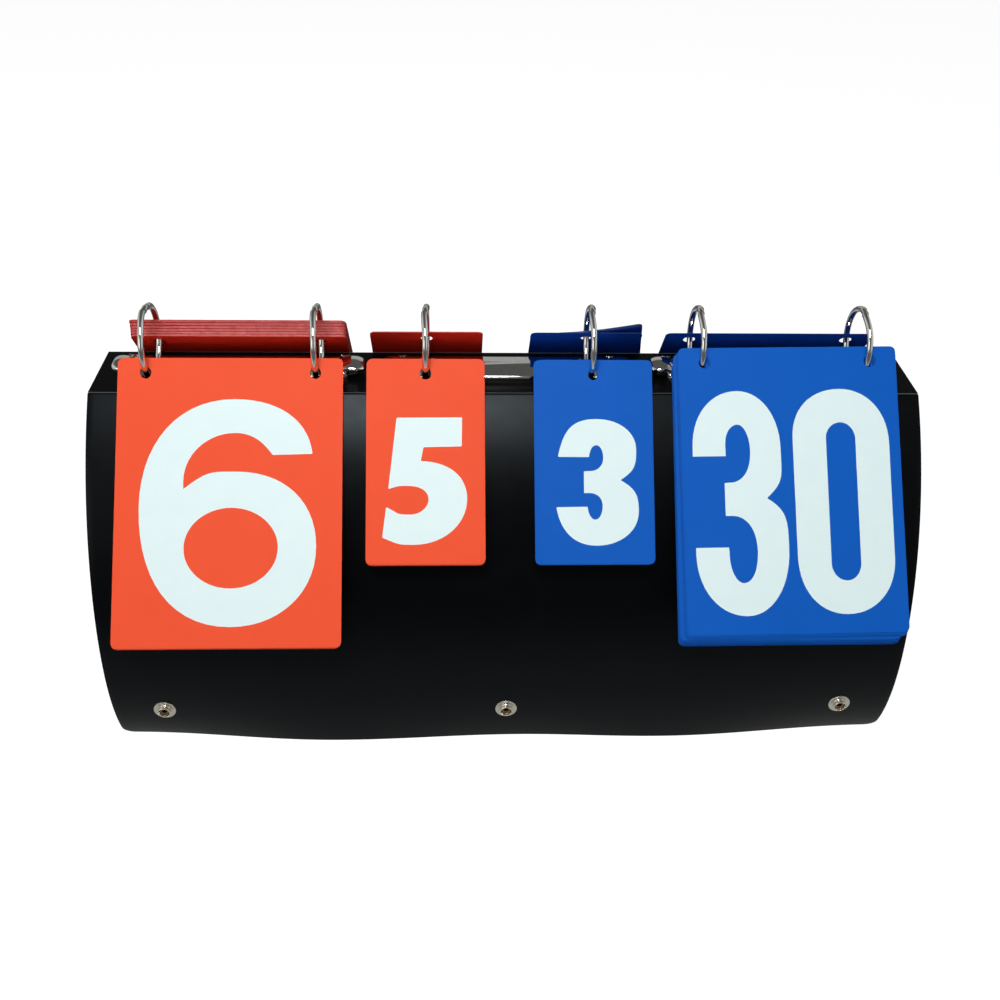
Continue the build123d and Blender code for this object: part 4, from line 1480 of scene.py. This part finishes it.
@dataclass
class Studio:
    """Camera, pale floor, low pale backdrop, softboxes and a grey room."""

    camera_place: Place = (-26.4, -494.8, 452.5)
    pitch: float = 35.49
    yaw: float = -2.82
    roll: float = 1.52
    lens: float = 41.04
    softboxes: tuple[Softbox, ...] = (
        Softbox("key_softbox", (-0.13, -0.62, 1.15), (0.42, 0.4), 10.2),
        Softbox("fill_softbox", (-1.3, -1.5, 0.8), (0.9, 0.9), 3.5))
    aim: Place = (0.0, 0.0, 0.12)
    floor_reach: float = 4.0
    backdrop_reach: float = 3.0
    backdrop_place: float = 2.6
    backdrop_height: float = 1.3

    def camera(self) -> None:
        """Place the camera and make it the scene's."""
        cp, sp = math.cos(math.radians(self.pitch)), math.sin(math.radians(self.pitch))
        cy, sy = math.cos(math.radians(self.yaw)), math.sin(math.radians(self.yaw))
        cr, sr = math.cos(math.radians(self.roll)), math.sin(math.radians(self.roll))
        ahead, right = Vector((0, cp, -sp)), Vector((1, 0, 0))
        rows = Matrix((right, ahead.cross(right), ahead))
        turn = Matrix(((cy, -sy, 0), (sy, cy, 0), (0, 0, 1)))
        tilt = Matrix(((cr, -sr, 0), (sr, cr, 0), (0, 0, 1)))
        rows = tilt @ (rows @ turn.transposed())
        axes = Matrix((rows[0], -rows[1], -rows[2])).transposed()
        data = bpy.data.cameras.new("portrait_camera")
        data.lens = self.lens
        data.sensor_width = 36.0
        data.clip_start = 0.01
        data.clip_end = 50.0
        camera = link(bpy.data.objects.new("portrait_camera", data))
        place = Matrix.Translation(Vector(self.camera_place) * MM)
        camera.matrix_world = place @ axes.to_4x4()
        bpy.context.scene.camera = camera

    def room(self) -> None:
        """Make the world white to the camera and a grey room to everything else.

        In reflections the room darkens towards the back wall and brightens at the
        side walls.
        """
        world = bpy.data.worlds.new("studio_room")
        world.use_nodes = True
        bpy.context.scene.world = world
        tree = world.node_tree
        tree.nodes.clear()
        where = add_node(tree, "ShaderNodeTexCoord")
        split = add_node(tree, "ShaderNodeSeparateXYZ", {}, {0: where.outputs["Generated"]})
        ahead = add_node(tree, "ShaderNodeMapRange", {
            "From Min": -0.5, "From Max": 0.25, "To Min": 0.14, "To Max": 0.1},
            {"Value": split.outputs["Y"]})
        beside = ramp_outwards(tree, split.outputs["X"], 0.4, 0.8, 0.0, 0.6)
        walls = add_node(tree, "ShaderNodeMath", {"operation": "ADD"}, {0: ahead, 1: beside})
        mirror = add_node(tree, "ShaderNodeBackground", {}, {"Color": walls})
        fill = add_node(tree, "ShaderNodeBackground", {"Color": (0.26, 0.26, 0.26, 1)})
        white = add_node(tree, "ShaderNodeBackground", {"Color": (1, 1, 1, 1)})
        shown = split_rays(tree, white, mirror, fill)
        add_node(tree, "ShaderNodeOutputWorld", {}, {"Surface": shown})

    def paper(self, name: str, camera_glow: float, near_glow: float,
              far_glow: float) -> bpy.types.Material:
        """Return white background paper that keeps a faint shadow.

        Args:
            name: the material's name.
            camera_glow: how bright it looks to the camera before any light.
            near_glow: how bright a reflection shows it close to the scoreboard.
            far_glow: how bright a reflection shows it further off.

        Returns:
            The paper's material.
        """
        material = bpy.data.materials.new(name)
        material.use_nodes = True
        tree = material.node_tree
        tree.nodes.clear()
        matt = add_node(tree, "ShaderNodeBsdfDiffuse", {"Color": to_linear("#5C5C5C")})
        pale = add_node(tree, "ShaderNodeBsdfDiffuse", {"Color": (0.28, 0.28, 0.28, 1)})
        glow = add_node(tree, "ShaderNodeEmission", {"Strength": camera_glow})
        where = add_node(tree, "ShaderNodeTexCoord")
        split = add_node(tree, "ShaderNodeSeparateXYZ", {}, {0: where.outputs["Object"]})
        pool = ramp_outwards(tree, split.outputs["Y"], 0.16, 0.4, near_glow, far_glow)
        gleam = add_node(tree, "ShaderNodeEmission", {}, {"Strength": pool})
        lit = add_node(tree, "ShaderNodeAddShader", {}, {0: pale, 1: glow})
        shown = split_rays(tree, lit, gleam, matt)
        add_node(tree, "ShaderNodeOutputMaterial", {}, {"Surface": shown})
        return material

    def sheet_of_paper(self, name: str, corners: Sequence[Place],
                       material: bpy.types.Material) -> None:
        """Hang or lay a flat sheet of paper."""
        mesh = bpy.data.meshes.new(name)
        mesh.from_pydata(corners, [], [(0, 1, 2, 3)])
        mesh.materials.append(material)
        new_object(name, mesh)

    def build(self) -> None:
        """Set up the camera, the lights and the stage."""
        scene = bpy.context.scene
        scene.view_settings.view_transform = "Standard"
        self.camera()
        self.room()
        far = self.floor_reach
        self.sheet_of_paper("floor", [(-far, -far, 0), (far, -far, 0), (far, far, 0),
                                      (-far, far, 0)], self.paper("floor_paper", 0.9, 0.5, 0.12))
        wide, back, high = self.backdrop_reach, self.backdrop_place, self.backdrop_height
        self.sheet_of_paper("backdrop", [(-wide, back, 0), (wide, back, 0), (wide, back, high),
                                         (-wide, back, high)],
                            self.paper("backdrop_paper", 0.95, 0.42, 0.42))
        for softbox in self.softboxes:
            softbox.hang(Vector(self.aim))
        log.info("studio ready")


# -------------------------------------------------------------------- the whole
def card_sets(sheet: TentSheet, tree: NodeModifier) -> list[CardSet]:
    """Return the four columns of cards, from left to right."""
    big, small = (105.5, 137.0), (56.0, 98.5)
    pair, one = (-40.0, 40.0), (0.0,)
    red = {"slot": "red_card", "finishes": {
        Side.FRONT: (RED_PRINT, RED_EDGE), Side.REAR: (RED_PRINT_PAINTED_SHADE, RED_BACK_EDGE)}}
    blue = {"slot": "blue_card", "finishes": {
        Side.FRONT: (BLUE_PRINT, BLUE_EDGE_PAINTED_SHADE), Side.REAR: (BLUE_PRINT_PAINTED_SHADE, BLUE_EDGE_PAINTED_SHADE)}}
    tools = {"sheet": sheet, "stack_tree": tree}
    return [
        CardSet("red_points", -132.5, big, pair, 6, 24, 39.5, SIX, **red, **tools, shown_slide=0.5,
                fan_every=4, fan_gap=0.24, rear_shuffle=0.25, rear_drift=-0.2),
        CardSet("red_sets", -40.0, small, one, 5, 2, 37.0, FIVE, **red, **tools),
        CardSet("blue_sets", 40.0, small, one, 3, 4, 37.0, THREE, **blue, **tools,
                shown_slide=1.0, loose={1: -6.0, 2: -6.6, 3: -7.0},
                curled={1: 4.8, 2: 5.4, 3: 5.8}),
        CardSet("blue_points", 132.5, big, pair, 30, 1, 37.0, THREE_AND_NOUGHT, **blue, **tools,
                shown_slide=1.05, shown_turn=0.75, shown_gap=0.2, front_slide=-0.9,
                askew={i: 0.2 if i < 22 else 0.7 for i in range(30)},
                nudged={i: 1.5 for i in range(22, 30)}),
    ]


def main() -> None:
    """Build every piece in order, then the studio."""
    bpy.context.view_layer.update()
    datum = Datum.from_frame()
    sheet = TentSheet(datum)
    sheet.build()
    row_tree, wire_tree, stack_tree = build_row_tree(), build_wire_tree(), build_stack_tree()
    PressStuds(sheet, row_tree).build()
    for key, middle, reaches in (("left", -132.5, (7.6, 10.4)), ("middle", 0.0, (10.0, 10.0)),
                                 ("right", 132.5, (9.8, 7.8))):
        RingMechanism(key, middle, datum, wire_tree, hood_reaches=reaches).build()
    for card_set in card_sets(sheet, stack_tree):
        card_set.build()
    Studio().build()


if __name__ == "__main__":
    main()
